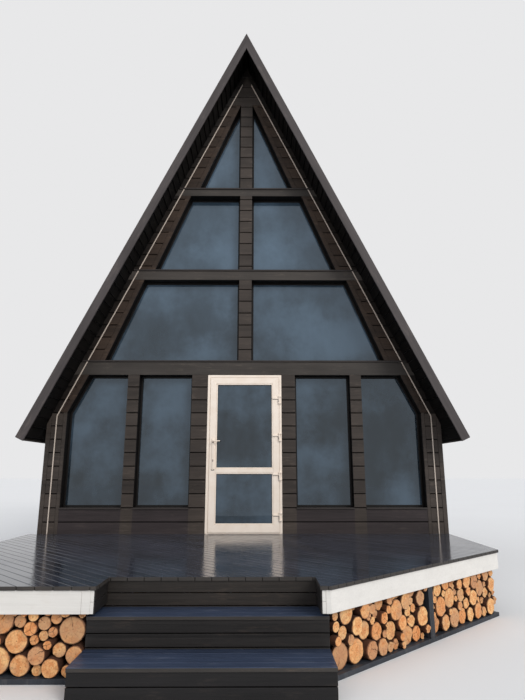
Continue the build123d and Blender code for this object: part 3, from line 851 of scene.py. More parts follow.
def roof_sheet():
    """Dark coated metal sheet of the roof."""
    finish = Finish("roof_sheet_coating")
    cloud = finish.noise(finish.place, 1.3, 5.0, 0.6)
    down_the_sheet = finish.vector(finish.along(inward) * 14.0, finish.along(upright) * 0.8, 0.0)
    streak = finish.noise(down_the_sheet, 1.0, 4.0)
    grain = finish.noise(finish.place, 300.0, 2.0)
    share = finish.clamped(cloud * 0.8 + streak * 0.5 - 0.2)
    colour = finish.mixed(share, tint(40, 40, 43), tint(74, 74, 78))
    gloss = finish.clamped(0.38 + cloud * 0.25)
    return finish.surface(colour, gloss, cloud + grain * 0.1, 0.0006, Metallic=0.35)


def concrete():
    """Cast concrete of the foundation."""
    finish = Finish("cast_concrete")
    cloud = finish.noise(finish.place, 3.0, 6.0, 0.62)
    pores = finish.add("ShaderNodeTexVoronoi", {"feature": "F1"}, {"Vector": finish.place, "Scale": 70.0})
    pit = 1 - finish.band(pores, 0.05, 0.22)
    colour = finish.mixed(finish.clamped(cloud + pit * 0.1), tint(112, 110, 106), tint(164, 161, 154))
    return finish.surface(colour, finish.clamped(0.8 + cloud * 0.15), cloud - pit * 0.4, 0.002)


def cut_wood():
    """Sawn log ends: rings, cracks from the pith, and each log with its own tone."""
    finish = Finish("log_end_wood")
    point = finish.mark("from_pith", "Vector")
    tone = finish.mark("log_tone")
    reach = finish.mark("log_reach")
    x = finish.add("ShaderNodeSeparateXYZ", None, {0: point}, "X")
    z = finish.add("ShaderNodeSeparateXYZ", None, {0: point}, "Z")
    second_tone = finish.maths("FRACT", tone * 7.3)
    uneven = finish.noise(finish.place, 14.0, 4.0)

    # Rings round the pith
    radius = (x * x + z * z) ** 0.5
    wavy = radius + (uneven - 0.5) * 0.012
    rings = finish.maths("SINE", wavy * 1150.0) * 0.5 + 0.5
    wide_rings = finish.maths("SINE", wavy * 330.0 + tone * 6.0) * 0.5 + 0.5

    # Cracks that run out from the pith: one long one, a star of three, or many short ones
    bend = finish.noise(finish.place, 22.0)
    turn = finish.maths("ARCTAN2", z, x) + tone * 40.0 + (bend - 0.5) * 1.3
    off_one = finish.maths("ABSOLUTE", finish.maths("SINE", turn * 0.5)) * radius * 2.0
    off_three = finish.maths("ABSOLUTE", finish.maths("SINE", turn * 1.5)) * radius * 0.667
    off_many = finish.maths("ABSOLUTE", finish.maths("SINE", turn * 5.0 + 1.3)) * radius * 0.2
    split_log = finish.band(second_tone, 0.55, 0.6) * finish.band(radius, 0.0, 0.03)
    crack = (1 - finish.band(off_one, 0.0008, 0.0026)) * split_log
    star = (1 - finish.band(off_three, 0.0004, 0.002)) * finish.band(tone, 0.84, 0.87) * 0.7
    fine_crack = (1 - finish.band(off_many, 0.0004, 0.0018)) * finish.band(radius, 0.02, 0.035) * 0.4

    # Colour: pale sapwood, a warm heart with blotches, rings, weathered grey, cracks and a dark rim
    blotch = finish.band(finish.noise(finish.place, 30.0, 4.0, 0.65), 0.42, 0.6)
    heart = 1 - finish.band(reach + (uneven - 0.5) * 0.6, 0.2, 0.7)
    grey = finish.noise(finish.place, 7.0, 5.0, 0.65)
    pith = 1 - finish.band(radius, 0.002, 0.005)
    colour = finish.mixed(tone, tint(250, 206, 144), tint(236, 170, 110))
    for share, over in (
        (finish.clamped(heart * 0.4 + blotch * 0.55), tint(212, 126, 62)),
        (rings * 0.12 + wide_rings * 0.2, tint(178, 102, 54)),
        (finish.band(grey + second_tone * 0.25, 0.56, 0.76) * 0.55, tint(190, 150, 118)),
        (second_tone * 0.3, tint(150, 100, 66)),
        (finish.clamped(crack + star + fine_crack + pith * 0.6), tint(62, 36, 22)),
        (finish.band(reach, 0.84, 0.95) * 0.75, tint(92, 60, 46)),
    ):
        colour = finish.mixed(share, colour, over)
    saw_marks = finish.noise(finish.vector(x * 260.0, 0.0, z * 30.0))
    height = saw_marks * 0.5 + rings * 0.15 - crack * 2.0 - star * 2.0
    return finish.surface(colour, finish.clamped(0.68 + uneven * 0.25), height, 0.0014)


def bark():
    """Rough bark round the logs."""
    finish = Finish("log_bark")
    coarse = finish.noise(finish.place, 38.0, 6.0, 0.65)
    fine = finish.noise(finish.place, 160.0, 4.0, 0.6)
    share = finish.clamped(coarse * 0.9 + fine * 0.4 + finish.mark("log_tone") * 0.35 - 0.4)
    colour = finish.mixed(share, tint(26, 15, 10), tint(108, 64, 38))
    return finish.surface(colour, finish.clamped(0.8 + fine * 0.2), coarse + fine * 0.4, 0.006)


door_white = plastic()
fitting_metal = metal()
rubber = gasket()
glass = glazing()
lit_cover = light_cover()
sheet = roof_sheet()
log_end = cut_wood()
log_bark = bark()

# Solids of the frame that show as they are
for material, nodes in (
    (glass, ("glass_upper", "glass_ground", "door_glass")),
    (plain_timber, ("loft_floor", "deck_joists", "deck_posts")),
    (concrete(), ("foundation",)),
    (beam_stain, ("ground_floor",)),
):
    for node in nodes:
        painted(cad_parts[node], material)


def two_stains(piece, first, second, chosen):
    """One stain all over, and the second on the chosen faces."""
    painted(piece, first, second)
    for face in piece.data.polygons:
        face.material_index = 1 if chosen(face) else 0
    return piece


def in_reveal(face):
    """Whether a face behind the face boards looks to the front, sideways or down, away from the corners."""
    return (face.center.y > reveal_start and face.normal.y < 0.5 and face.normal.z < 0.5
            and abs(face.center.x) < reveal_end)


def keep_wall(name, parts, stain, node):
    """Keep a part of the front wall, with painted shade, nearly black, in its grooves and at its sides."""
    keep(two_stains(joined(name, parts), stain, reveal_stain_and_shade, in_reveal), node)


# Front wall: posts and piers of the ground storey
def pier_outline(x_low, x_high):
    """A corner pier between two half widths, cut off by the roof."""
    return lifted([
        (x_low, 0.0),
        (x_high, 0.0),
        (x_high, roof_z(x_high, soffit_thick)),
        (roof_x(knee_height, soffit_thick), knee_height),
        (x_low, knee_height),
    ])


trim_inner = half_width - corner_trim + trim_joint
pier_trims = [
    rectangle(pier_inner, pier_inner + window_trim - trim_joint, 0.0, knee_height),
    [(trim_inner, 0.0), (half_width, 0.0), (half_width, roof_z(half_width, 0.0)),
     (trim_inner, roof_z(trim_inner, 0.0))],
]
pier_parts = [
    boards_over("pier", pier_outline(pier_inner + window_trim, half_width - corner_trim)),
    prism("pier_core", pier_outline(pier_inner, half_width), course_depth, wall_thick),
]
for outline in pier_trims:
    pier_parts.append(soften(prism("pier_trim", lifted(outline), -trim_proud, trim_back), trim_edge, 1))
post_parts = pier_parts + on_the_left(pier_parts)
for x_low, x_high in ((post_inner, post_outer), (-post_outer, -post_inner), (half_door, door_post_right),
                      (-door_post_left, -half_door)):
    post_parts.append(clad("post", lifted(rectangle(x_low, x_high, 0.0, beams[0][0]))))
keep_wall("ground_posts_boards", post_parts, cladding, "ground_posts")


# Front wall: beams, ledges and panels under the windows
def up_to_roof(edge_low, low, edge_high, high):
    """The outline from an edge out to the roof, between two heights."""
    return lifted([(edge_low, low), (roof_x(low, soffit_thick), low), (roof_x(high, soffit_thick), high),
                   (edge_high, high)])


def ledge(x_low, x_high, height):
    """A thin ledge on top of a beam or panel."""
    return plank("ledge", (x_low, -ledge_reach, deck_top + height),
                 (x_high, wall_thick, deck_top + height + ledge_thick))


beam_parts = []
ledge_parts = []
for low, high in beams:
    outline = up_to_roof(-roof_x(low, soffit_thick), low, -roof_x(high, soffit_thick), high)
    beam_parts.append(soften(prism("beam", outline, 0.0, wall_thick), beam_edge))
    half = roof_x(high + ledge_thick, 0.0)
    ledge_parts.append(ledge(-half, half, high))
keep_wall("beam_boards", beam_parts, beam_stain, "beams")
sill_parts = []
for x_low, x_high in ((post_outer, pier_inner), (-pier_inner, -post_outer), (door_post_right, post_inner),
                      (-post_inner, -door_post_left)):
    sill_parts.append(clad("sill_panel", lifted(rectangle(x_low, x_high, 0.0, sill_high))))
    ledge_parts.append(ledge(x_low, x_high, sill_high))
keep_wall("sill_panel_boards", sill_parts, sill_stain, "sill_panels")
keep(joined("ledge_caps", ledge_parts), "ledges", ledge_stain)

# Front wall: middle mullion with the boarded peak
row_tops = [beams[1][0], beams[2][0], panes_peak]
rows = [(beam[1] + ledge_thick, top) for beam, top in zip(beams, row_tops)]
mullion_parts = []
for low, high in rows:
    mullion_parts.append(clad("mullion", lifted(rectangle(-half_mullion, half_mullion, low, high))))
peak_x = roof_x(panes_peak, soffit_thick)
mullion_parts.append(clad("peak", lifted([(-peak_x, panes_peak), (peak_x, panes_peak),
                                          (0.0, roof_z(0.0, soffit_thick))])))
keep_wall("centre_mullion_boards", mullion_parts, peak_stain_roof_shade, "centre_mullion")

# Front wall: boards and trims along the slopes
strip_edges = []
for low, high in rows:
    strip_edges.append((low, high, roof_x(low, 0.0) - strip_over_beam, roof_x(high, 0.0) - strip_under_beam))
strip_edges[2] = (*rows[2], strip_edges[2][2], half_mullion)
strip_edges.append((knee_height, beams[0][0], pier_inner, roof_x(beams[0][0], 0.0) - strip_ground))
strip_parts = []
for low, high, edge_low, edge_high in strip_edges:
    boards_in = rake_trim + trim_joint
    trim = lifted([(edge_low, low), (edge_low + rake_trim, low), (edge_high + rake_trim, high),
                   (edge_high, high)])
    strip_parts += [
        boards_over("strip", up_to_roof(edge_low + boards_in, low, edge_high + boards_in, high)),
        prism("strip_core", up_to_roof(edge_low, low, edge_high, high), course_depth, wall_thick),
        soften(prism("strip_trim", trim, -rake_proud, trim_back), thin_edge),
    ]
keep_wall("rake_strip_boards", strip_parts + on_the_left(strip_parts), rake_stain_roof_shade, "rake_strips")

# Windows: a frame round each pane; the top panes are triangles, so two of their four corners are one
window_outlines = []
for low, high, edge_low, edge_high in strip_edges[:3]:
    corners = [(half_mullion, low), (edge_low, low), (edge_high, high), (half_mullion, high)]
    outline = list(dict.fromkeys(corners))
    window_outlines += [lifted(outline), lifted(flipped(outline))]
sill_top = sill_high + ledge_thick
ground_outer = [(post_outer, sill_top), (pier_inner, sill_top), (pier_inner, knee_height),
                (strip_edges[3][3], beams[0][0]), (post_outer, beams[0][0])]
window_outlines += [
    lifted(ground_outer),
    lifted(flipped(ground_outer)),
    lifted(rectangle(door_post_right, post_inner, sill_top, beams[0][0])),
    lifted(rectangle(-post_inner, -door_post_left, sill_top, beams[0][0])),
]
right_rear = [lifted(rectangle(*pane)) for pane in rear_panes]
rear_outlines = right_rear + [flipped(outline) for outline in right_rear]
frame_parts = []
for outline in window_outlines:
    frame_parts.append(ring("window_frame", outline, frame_bar, frame_front, frame_back))
for outline in rear_outlines:
    frame_parts.append(ring("rear_window_frame", outline, frame_bar, cabin_length - frame_back,
                            cabin_length - frame_front))
keep(joined("window_frame_bars", frame_parts), "window_frames", frame_stain)

# Light strips: a slim cover beside the corner and along the slope, broken at the ledges
light_in = light_under + light_half
light_out = light_under - light_half
upright_in = half_width - light_from_corner - light_half
upright_out = half_width - light_from_corner + light_half


def across_light(height):
    """The inner and the outer point of the sloping light strip at a height."""
    return [(roof_x(height, -light_in), height), (roof_x(height, -light_out), height)]


light_foot = [(upright_in, 0.0), (upright_out, 0.0)]
light_bend = [(upright_in, roof_z(upright_in, -light_in)), (upright_out, roof_z(upright_out, -light_out))]
light_tip = [(light_under, roof_z(light_under, -light_in)), (light_under, roof_z(light_under, -light_out))]
light_starts = [light_foot, light_bend] + [across_light(high + ledge_thick) for low, high in beams]
light_ends = [light_bend] + [across_light(high) for low, high in beams] + [light_tip]
light_parts = []
for start, end in zip(light_starts, light_ends):
    light_parts.append(soften(prism("light", lifted(start + end[::-1]), -light_proud, 0.0), light_edge, 1))
light_parts += on_the_left(light_parts)
keep(joined("light_strip_covers", light_parts), "light_strips", lit_cover)

# Roof: built in the plane of the right slope, then set at its pitch; the left slope is the same turned round
slope_turn = (0.0, roof_angle, 0.0)
peak_place = (0.0, 0.0, deck_top + soffit_peak)


def on_slope(piece):
    """Set a piece from the slope's own plane at the roof's pitch, mitred at the ridge."""
    return saw(placed(piece, slope_turn, peak_place), ((0.0, 0.0, 0.0), (-1.0, 0.0, 0.0)))


def turned_round(piece):
    """The same piece turned half round about the cabin's middle, so that it is on the other side."""
    return placed(twin(piece), (0.0, 0.0, math.pi), (0.0, cabin_length, 0.0))


seam = plank("roof_seam", (-ridge_over, roof_front + seam_end, seam_low),
             (core_end - seam_short, roof_front + seam_end + seam_thick, seam_high))
seam_run = roof_rear - roof_front - 2 * seam_end - seam_thick
seam_steps = int(seam_run / seam_pitch)
row(seam, seam_steps + 1, (0.0, seam_run / seam_steps, 0.0))
roof_core = block("roof_core", (-ridge_over, roof_front, soffit_thick), (core_end, roof_rear, sheet_depth))
roof_right = joined("roof_right_sheets", [on_slope(roof_core), on_slope(seam)])
roof_left = joined("roof_left_sheets", [turned_round(roof_right)])
keep(roof_right, "roof_right", sheet)
keep(roof_left, "roof_left", sheet)

cap_parts = []
for start, low, high, edge in ((-ridge_over, roof_depth, roof_depth + cap_sheet, slim_edge),
                               (cap_end - cap_sheet, sheet_depth, cap_lip_high, fine_edge)):
    cap = soften(block("cap", (start, roof_front, low), (cap_end, roof_rear, high)), edge, 1)
    cap_parts.append(on_slope(cap))
cap_parts += [turned_round(part) for part in cap_parts]
keep(joined("ridge_cap_sheet", cap_parts), "ridge_cap", sheet)


def soffit_boards(front, back):
    """Boards under the roof, each a little lower at its lower edge than the next one down."""
    board = block("soffit", (soffit_gap / 2, front, 0.0),
                  (soffit_pitch - soffit_gap / 2, back, soffit_thick - hair))
    opened(board)
    pick(board, "verts", lambda vertex: vertex.co.x < soffit_gap and vertex.co.z < hair)
    bpy.ops.transform.translate(value=(0.0, 0.0, soffit_step))
    soften(closed(board), thin_edge, 1)
    placed(board, move=(-soffit_pitch, 0.0, 0.0))
    row(board, math.ceil(core_end / soffit_pitch) + 1, (soffit_pitch, 0.0, 0.0))
    return on_slope(saw(board, ((core_end, 0.0, 0.0), (1.0, 0.0, 0.0))))


soffit_parts = [
    soffit_boards(roof_front, -hair),
    soffit_boards(cabin_length + hair, roof_rear),
    saw(soffit_boards(0.0, cabin_length), ((half_width + hair, 0.0, 0.0), (-1.0, 0.0, 0.0))),
]
soffit_parts += [turned_round(part) for part in soffit_parts]
keep(joined("soffit_boards", soffit_parts), "soffit", soffit_stain_and_shade)

eave = plank("eave_board", (core_end, roof_front, 0.0), (slope_length, roof_rear, roof_depth), thin_edge)
placed(eave, slope_turn, peak_place)
keep(joined("eave_board_pair", [eave, turned_round(eave)]), "eave_boards", beam_stain)

front_right = on_slope(plank("barge", (-ridge_over, -overhang, barge_low),
                             (slope_length, roof_front, barge_high), beam_edge))
rear_right = placed(twin(front_right), move=(0.0, cabin_length + 2 * overhang - barge_thick, 0.0))
front_left = turned_round(rear_right)
rear_left = turned_round(front_right)
for barge, place, stain in (
    (front_right, "front_barge_right", barge_right_stain),
    (front_left, "front_barge_left", barge_left_stain),
    (rear_right, "rear_barge_right", barge_right_stain),
    (rear_left, "rear_barge_left", barge_left_stain),
):
    keep(joined(place + "_board", [barge]), place, stain)

# Low side walls, boarded outside
side_top = deck_top + roof_z(half_width, soffit_thick)
side_top_in = deck_top + roof_z(half_width - side_wall_thick, soffit_thick)
side = joined("side", [
    boards_over("side", rectangle(wall_thick, cabin_length - wall_thick, deck_top, side_top_in)),
    block("side_core", (wall_thick, course_depth, deck_top),
          (cabin_length - wall_thick, side_wall_thick, side_top_in)),
])
placed(side, (0.0, 0.0, math.pi / 2), (half_width, 0.0, 0.0))
saw(side, ((half_width, 0.0, side_top), (sin_a, 0.0, cos_a)))
# Painted shade, nearly black, in the grooves between the side boards.
keep(two_stains(joined("side_wall_boards", [side, turned_round(side)]), side_cladding, reveal_stain_and_shade,
                lambda face: abs(abs(face.center.x) - half_width + course_depth) < hair),
     "side_walls")

# Rear wall, boarded outside, with its windows cut through
eave_z = roof_z(half_width, soffit_thick)
rear_edge = lifted([(-half_width, 0.0), (half_width, 0.0), (half_width, eave_z),
                    (0.0, roof_z(0.0, soffit_thick)), (-half_width, eave_z)])
rear_parts = [boards_over("rear_boards", rear_edge), prism("rear_core", rear_edge, course_depth, wall_thick)]
for part in rear_parts:
    placed(part, (0.0, 0.0, math.pi), (0.0, cabin_length, 0.0))
    for outline in rear_outlines:
        carved(part, prism("window_cutter", outline, cabin_length - wall_thick - cut_over,
                           cabin_length + cut_over))
for outline in rear_outlines:
    rear_parts.append(ring("rear_window_trim", shrunk(outline, -rear_trim), rear_trim,
                           cabin_length - trim_proud, cabin_length + rear_trim_proud))
# Painted shade, nearly black, in the grooves between the rear boards.
keep(two_stains(joined("rear_wall_boards", rear_parts), cladding, reveal_stain_and_shade,
                lambda face: abs(face.center.y - cabin_length + course_depth) < hair),
     "rear_wall")


# Deck: boards laid at an angle across it, sawn to its edges
def keep_nosed(name, parts, top_stain, node):
    """Keep boards with one stain on top and the lighter nosing stain, painted light, on their edges."""
    keep(two_stains(joined(name, parts), top_stain, nosing_stain_lit, lambda face: face.normal.z <= 0.3),
         node)


half_root = math.sqrt(0.5)
first_board = math.floor((half_root * (deck_left + deck_front) - deck_board_phase) / deck_board_pitch)
last_board = math.ceil((half_root * deck_right - deck_board_phase) / deck_board_pitch)
board_low = deck_board_phase + first_board * deck_board_pitch + deck_board_gap / 2
deck_boards = plank("deck_boards", (deck_board_ends[0], board_low, deck_under),
                    (deck_board_ends[1], board_low + deck_board_pitch - deck_board_gap, deck_top), thin_edge)
row(deck_boards, last_board - first_board + 1, (0.0, deck_board_pitch, 0.0))
placed(deck_boards, (0.0, 0.0, -math.pi / 4))
edge_slope = (deck_right - corner_front_x) / (corner_side_y - deck_front)
edge_x_at_notch = corner_front_x + edge_slope * (notch_back - deck_front)
deck_regions = [
    [(deck_left, 0.0), (deck_left, notch_back), (edge_x_at_notch, notch_back), (deck_right, corner_side_y),
     (deck_right, 0.0)],
    rectangle(deck_left, notch_left, deck_front, notch_back),
    [(notch_right, notch_back), (notch_right, deck_front), (corner_front_x, deck_front),
     (edge_x_at_notch, notch_back)],
]
deck_parts = [saw(twin(deck_boards), *outline_cuts(outline, in_plan=True)) for outline in deck_regions]
bpy.data.objects.remove(deck_boards, do_unlink=True)
keep_nosed("deck_main_boards", deck_parts[:1], deck_stain, "deck_main")
keep_nosed("deck_wing_boards", deck_parts[1:], deck_stain, "deck_wings")


# White boards under the deck's edge, mitred where they turn
def shares(total, pitch):
    """Where boards laid side by side begin and end over a distance, the last one cut to fit."""
    spans = []
    start = 0.0
    while total - start > least_board:
        end = min(start + pitch, total)
        spans.append((start, end))
        start = end
    return spans


def stack(name, low, high, pitch=deck_board_pitch, gap=stack_gap):
    """Boards one above another, from the top of a box down."""
    return [plank(name, (low[0], low[1], high[2] - end + gap),
                  (high[0], high[1], high[2] - start - hair / 2))
            for start, end in shares(high[2] - low[2], pitch)]


# The deck's slanting edge; a mitre there leans by the tangent of half the turn
edge_angle = math.atan2(corner_side_y - deck_front, deck_right - corner_front_x)
edge_length = math.hypot(deck_right - corner_front_x, corner_side_y - deck_front)
edge_cos = math.cos(edge_angle)
edge_sin = math.sin(edge_angle)
half_turn = math.tan(edge_angle / 2)
side_turn = math.tan((math.pi / 2 - edge_angle) / 2)
fascia_back = fascia_in + fascia_thick
front_y = deck_front + fascia_in
front_back_y = front_y + fascia_thick
left_joint = notch_left - fascia_back


def edge_place(piece):
    """Set a piece, made with the slanting edge along X from its front corner, on that edge."""
    return placed(piece, (0.0, 0.0, edge_angle), (corner_front_x, deck_front, 0.0))


def on_edge(along, inward_by):
    """Plan position from the slanting edge: distance along it and distance in from it."""
    return Vector((corner_front_x + along * edge_cos - inward_by * edge_sin,
                   deck_front + along * edge_sin + inward_by * edge_cos))


def keep_fascia(name, parts, node):
    """Keep white boards of the deck's edge."""
    keep(joined(name, parts), node, white_boards)


corner_piece = saw(block("fascia", (notch_right + fascia_back + hair, front_y, fascia_low),
                         (corner_front_x, front_back_y, deck_under)),
                   ((corner_front_x - fascia_in * half_turn, front_y, 0.0), (1.0, half_turn, 0.0)))
front_parts = [
    plank("fascia", (deck_left + fascia_back, front_y, fascia_low),
          (left_joint - fascia_offcut, front_back_y, deck_under)),
    plank("fascia", (left_joint - fascia_offcut + hair, front_y, fascia_low),
          (left_joint, front_back_y, deck_under)),
    soften(corner_piece, trim_edge, 1),
]
keep_fascia("fascia_front_boards", front_parts, "fascia_front")
slanting = saw(block("fascia", (0.0, fascia_in, fascia_low), (edge_length, fascia_back, deck_under)),
               ((fascia_in * half_turn, fascia_in, 0.0), (-1.0, half_turn, 0.0)),
               ((edge_length - fascia_in * side_turn, fascia_in, 0.0), (1.0, side_turn, 0.0)))
keep_fascia("fascia_slanting_board", [edge_place(soften(slanting, trim_edge, 1))], "fascia_slanting")
side_corner = on_edge(edge_length - fascia_in * side_turn, fascia_in)
side_corner_back = on_edge(edge_length - fascia_back * side_turn, fascia_back)
mitre = side_corner_back - side_corner
right_side = saw(block("fascia", (side_corner_back.x, side_corner.y, fascia_low),
                       (side_corner.x, 0.0, deck_under)),
                 ((side_corner.x, side_corner.y, 0.0), (-mitre.y, mitre.x, 0.0)))
side_parts = [
    plank("fascia", (deck_left + fascia_in, front_y, fascia_low),
          (deck_left + fascia_back, 0.0, deck_under)),
    soften(right_side, trim_edge, 1),
]
fascia_half = (deck_under - fascia_low) / 2
for x in (notch_left - fascia_back, notch_right + fascia_in):
    side_parts += stack("fascia", (x, front_y, fascia_low), (x + fascia_thick, notch_back, deck_under),
                        fascia_half, hair)
keep_fascia("fascia_side_boards", side_parts, "fascia_sides")

# Steps: boards along the treads and risers, and dark boards on the sides of the notch
riser_faces = [notch_back + tread_nose, tread_1_front + tread_nose, tread_2_front + tread_nose]
riser_tops = [deck_under, deck_top - rise - board_thick, deck_top - 2 * rise - board_thick]
tread_parts = []
for front, back, low in zip((tread_1_front, tread_2_front), riser_faces, riser_tops[1:]):
    for start, end in shares(back - front, deck_board_pitch):
        tread_parts.append(plank("tread", (step_left, front + start, low),
                                 (step_right, front + end - tread_gap, low + board_thick)))
keep_nosed("step_tread_boards", tread_parts, tread_stain_sky_reflection, "step_treads")
for index, stain in enumerate(riser_stains_by_shade):
    boards = stack("riser", (step_left, riser_faces[index], 0.0),
                   (step_right, riser_faces[index] + riser_thick, riser_tops[index]), gap=riser_gap)
    keep(joined("step_riser_boards_%d" % (index + 1), boards),
         None if index else "step_risers", stain)
cheek_parts = []
for x in (step_left, step_right - riser_thick):
    for i in (1, 2):
        cheek_parts += stack("cheek", (x, riser_faces[i] + riser_thick, 0.0),
                             (x + riser_thick, riser_faces[i - 1], riser_tops[i]), gap=riser_gap)
for x in (notch_left - fascia_in, notch_right + fascia_in - notch_lining):
    cheek_parts += stack("lining", (x, front_y, fascia_low), (x + notch_lining, notch_back, deck_under),
                         fascia_half)
keep(joined("step_side_boards", cheek_parts), "step_sides", side_riser_stain)


# Log stores: boarded beds on the ground and posts up to the deck
def bed(left, right):
    """The boards of a log store's bed, side by side from the front back."""
    return [plank("bed", (left, bed_front + start, 0.0), (right, bed_front + end - hair, bed_high))
            for start, end in shares(bed_back - bed_front, bed_board)]


store_left = deck_left + fascia_back
middle_post = edge_length * middle_post_share - store_post / 2
right_bed = joined("right_bed", bed(0.0, edge_length - right_store_end))
store_parts = [placed(board, move=(0.0, deck_front, 0.0)) for board in bed(store_left, step_left)]
store_parts += [
    saw(edge_place(right_bed), ((step_right + hair, 0.0, 0.0), (-1.0, 0.0, 0.0))),
    plank("left_post", (store_left, deck_front + bed_front, bed_high),
          (store_left + store_post, deck_front + bed_front + store_post, deck_under)),
    edge_place(plank("middle_post", (middle_post, bed_front, bed_high),
                     (middle_post + store_post, bed_front + store_post, deck_under))),
]
keep(joined("log_store_bars", store_parts), "log_store_frames", store_stain)


# Boards that close the space under the deck, and the back boards of the log stores
def skirt(x_low, y_low, x_high, y_high):
    """Boards from the ground up to the deck."""
    return stack("skirt", (x_low, y_low, 0.0), (x_high, y_high, deck_under), skirt_board)


skirt_right = side_corner_back.x
left_back_y = deck_front + store_back
right_back_start = (step_right + hair - corner_front_x + (store_back + skirt_thick) * edge_sin) / edge_cos
skirt_parts = skirt(store_left, left_back_y, store_left + skirt_thick, 0.0)
skirt_parts += skirt(skirt_right - skirt_thick, corner_side_y + skirt_clear, skirt_right, skirt_back)
skirt_parts += skirt(store_left + skirt_thick + 2 * hair, left_back_y, step_left, left_back_y + skirt_thick)
skirt_parts += [edge_place(part) for part in skirt(right_back_start, store_back, edge_length - skirt_clear,
                                                   store_back + skirt_thick)]
keep(joined("under_deck_cladding", skirt_parts), "under_deck_boards", skirt_stain)


# Firewood: a log of the same place, girth and length for every log of the frame
def islands(node):
    """The corners of each separate log of a node, log by log."""
    body = bmesh.new()
    body.from_mesh(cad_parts[node].data)
    bmesh.ops.remove_doubles(body, verts=body.verts, dist=weld)
    seen = set()
    logs = []
    for start in body.verts:
        if start in seen:
            continue
        seen.add(start)
        ahead = [start]
        points = []
        while ahead:
            vertex = ahead.pop()
            points.append(vertex.co.copy())
            for edge in vertex.link_edges:
                other = edge.other_vert(vertex)
                if other not in seen:
                    seen.add(other)
                    ahead.append(other)
        logs.append(points)
    body.free()
    return logs


def log_facts(points, direction):
    """Front middle, radius and length of one log from its corners."""
    along = [p.dot(direction) for p in points]
    middle_along = (min(along) + max(along)) / 2
    front = [p for p, a in zip(points, along) if a < middle_along]
    centre = sum(front, Vector()) / len(front)
    radius = max((p - centre).length for p in front)
    return centre, radius, max(along) - min(along)


def log_shape(seed):
    """One log of unit radius and length, its bark rough and its end a little proud of the bark."""
    bpy.ops.object.select_all(action="DESELECT")
    bpy.ops.mesh.primitive_cylinder_add(vertices=log_sides, radius=1 - bark_depth, depth=1.0,
                                        end_fill_type="NGON", location=(0.0, 0.5, 0.0),
                                        rotation=(math.pi / 2, 0.0, 0.0))
    piece = named("log")
    opened(piece)
    pick(piece, "verts", lambda vertex: True)
    bpy.ops.transform.vertex_random(offset=bark_depth, uniform=0.0, normal=0.0, seed=seed)
    for end, proud in ((0.0, end_proud), (1.0, 0.0)):
        pick(piece, "faces", lambda face: len(face.verts) == log_sides
             and abs(face.calc_center_median().y - end) < 0.1)
        bpy.ops.mesh.inset(thickness=bark_rim, use_even_offset=True)
        bpy.ops.mesh.inset(thickness=end_bevel, depth=proud, use_even_offset=True)
        bpy.ops.mesh.inset(thickness=end_inset, use_even_offset=False)
    return two_stains(closed(piece), log_bark, log_end, lambda face: abs(face.normal.y) > 0.5
                      and math.hypot(face.center.x, face.center.z) < end_radius)


log_shapes = [log_shape(seed) for seed in log_seeds]


def stacked(node, name, direction, seed):
    """Logs for one pile, each where its solid lies."""
    picker = random.Random(seed)
    direction = Vector(direction)
    turn = Matrix.Rotation(math.atan2(-direction.x, direction.y), 4, "Z")
    parts = []
    for points in islands(node):
        centre, radius, length = log_facts(points, direction)
        part = twin(picker.choice(log_shapes))
        spin = Matrix.Rotation(picker.uniform(0.0, 2 * math.pi), 4, "Y")
        pith_x = picker.uniform(-pith_offset, pith_offset)
        pith_z = picker.uniform(-pith_offset, pith_offset)
        pith = Vector((pith_x, 0.0, pith_z)) * radius
        tone = picker.random()
        part.data.transform(Matrix.Diagonal((radius, length, radius, 1.0)) @ spin)
        marks = part.data.attributes
        for mark, kind in (("from_pith", "FLOAT_VECTOR"), ("log_tone", "FLOAT"), ("log_reach", "FLOAT")):
            marks.new(mark, kind, "POINT")
        for index, vertex in enumerate(part.data.vertices):
            marks["from_pith"].data[index].vector = vertex.co - pith
            marks["log_tone"].data[index].value = tone
            marks["log_reach"].data[index].value = math.hypot(vertex.co.x, vertex.co.z) / radius
        part.data.transform(Matrix.Translation(centre) @ turn)
        parts.append(part)
    keep(smooth(joined(name, parts), 40), node)


stacked("logs_left", "left_firewood", inward, 4)
stacked("logs_right", "right_firewood", (-edge_sin, edge_cos, 0.0), 9)
for shape in log_shapes:
    bpy.data.objects.remove(shape, do_unlink=True)


# Door: mitred bars round the openings, beads and rubber round the panes
def mitred(name, outer, inner, front, back, edge):
    """Four bars, mitred at the corners, between an outer and an inner rectangle in X and Z."""
    parts = []
    for i in range(4):
        j = (i + 1) % 4
        parts.append(soften(prism(name, [outer[i], outer[j], inner[j], inner[i]], front, back), edge))
    return parts


def rod(name, start, end, radius, sides=round_sides, edge=0.0):
    """A round bar between two points, its end rims softened."""
    start = Vector(start)
    end = Vector(end)
    axis = end - start
    bpy.ops.object.select_all(action="DESELECT")
    bpy.ops.mesh.primitive_cylinder_add(vertices=sides, radius=radius, depth=axis.length,
                                        end_fill_type="NGON", location=(start + end) / 2,
                                        rotation=axis.to_track_quat("Z", "Y").to_euler())
    piece = named(name)
    if edge:
        opened(piece)
        pick(piece, "faces", lambda face: len(face.verts) == sides)
        bevel(edge, 3)
        closed(piece)
    return piece


def across_leaf(name, z, front, back, radius, sides=round_sides, edge=0.0):
    """A round bar that runs through the leaf's thickness, in line with the lever and the lock."""
    return rod(name, (lever_x, front, z), (lever_x, back, z), radius, sides, edge)


def bored(piece):
    """A piece with the hole for the lever's spindle."""
    bore = across_leaf("bore", lever_z, leaf_front - grip_out, leaf_back + grip_out, bore_radius)
    return carved(piece, bore)


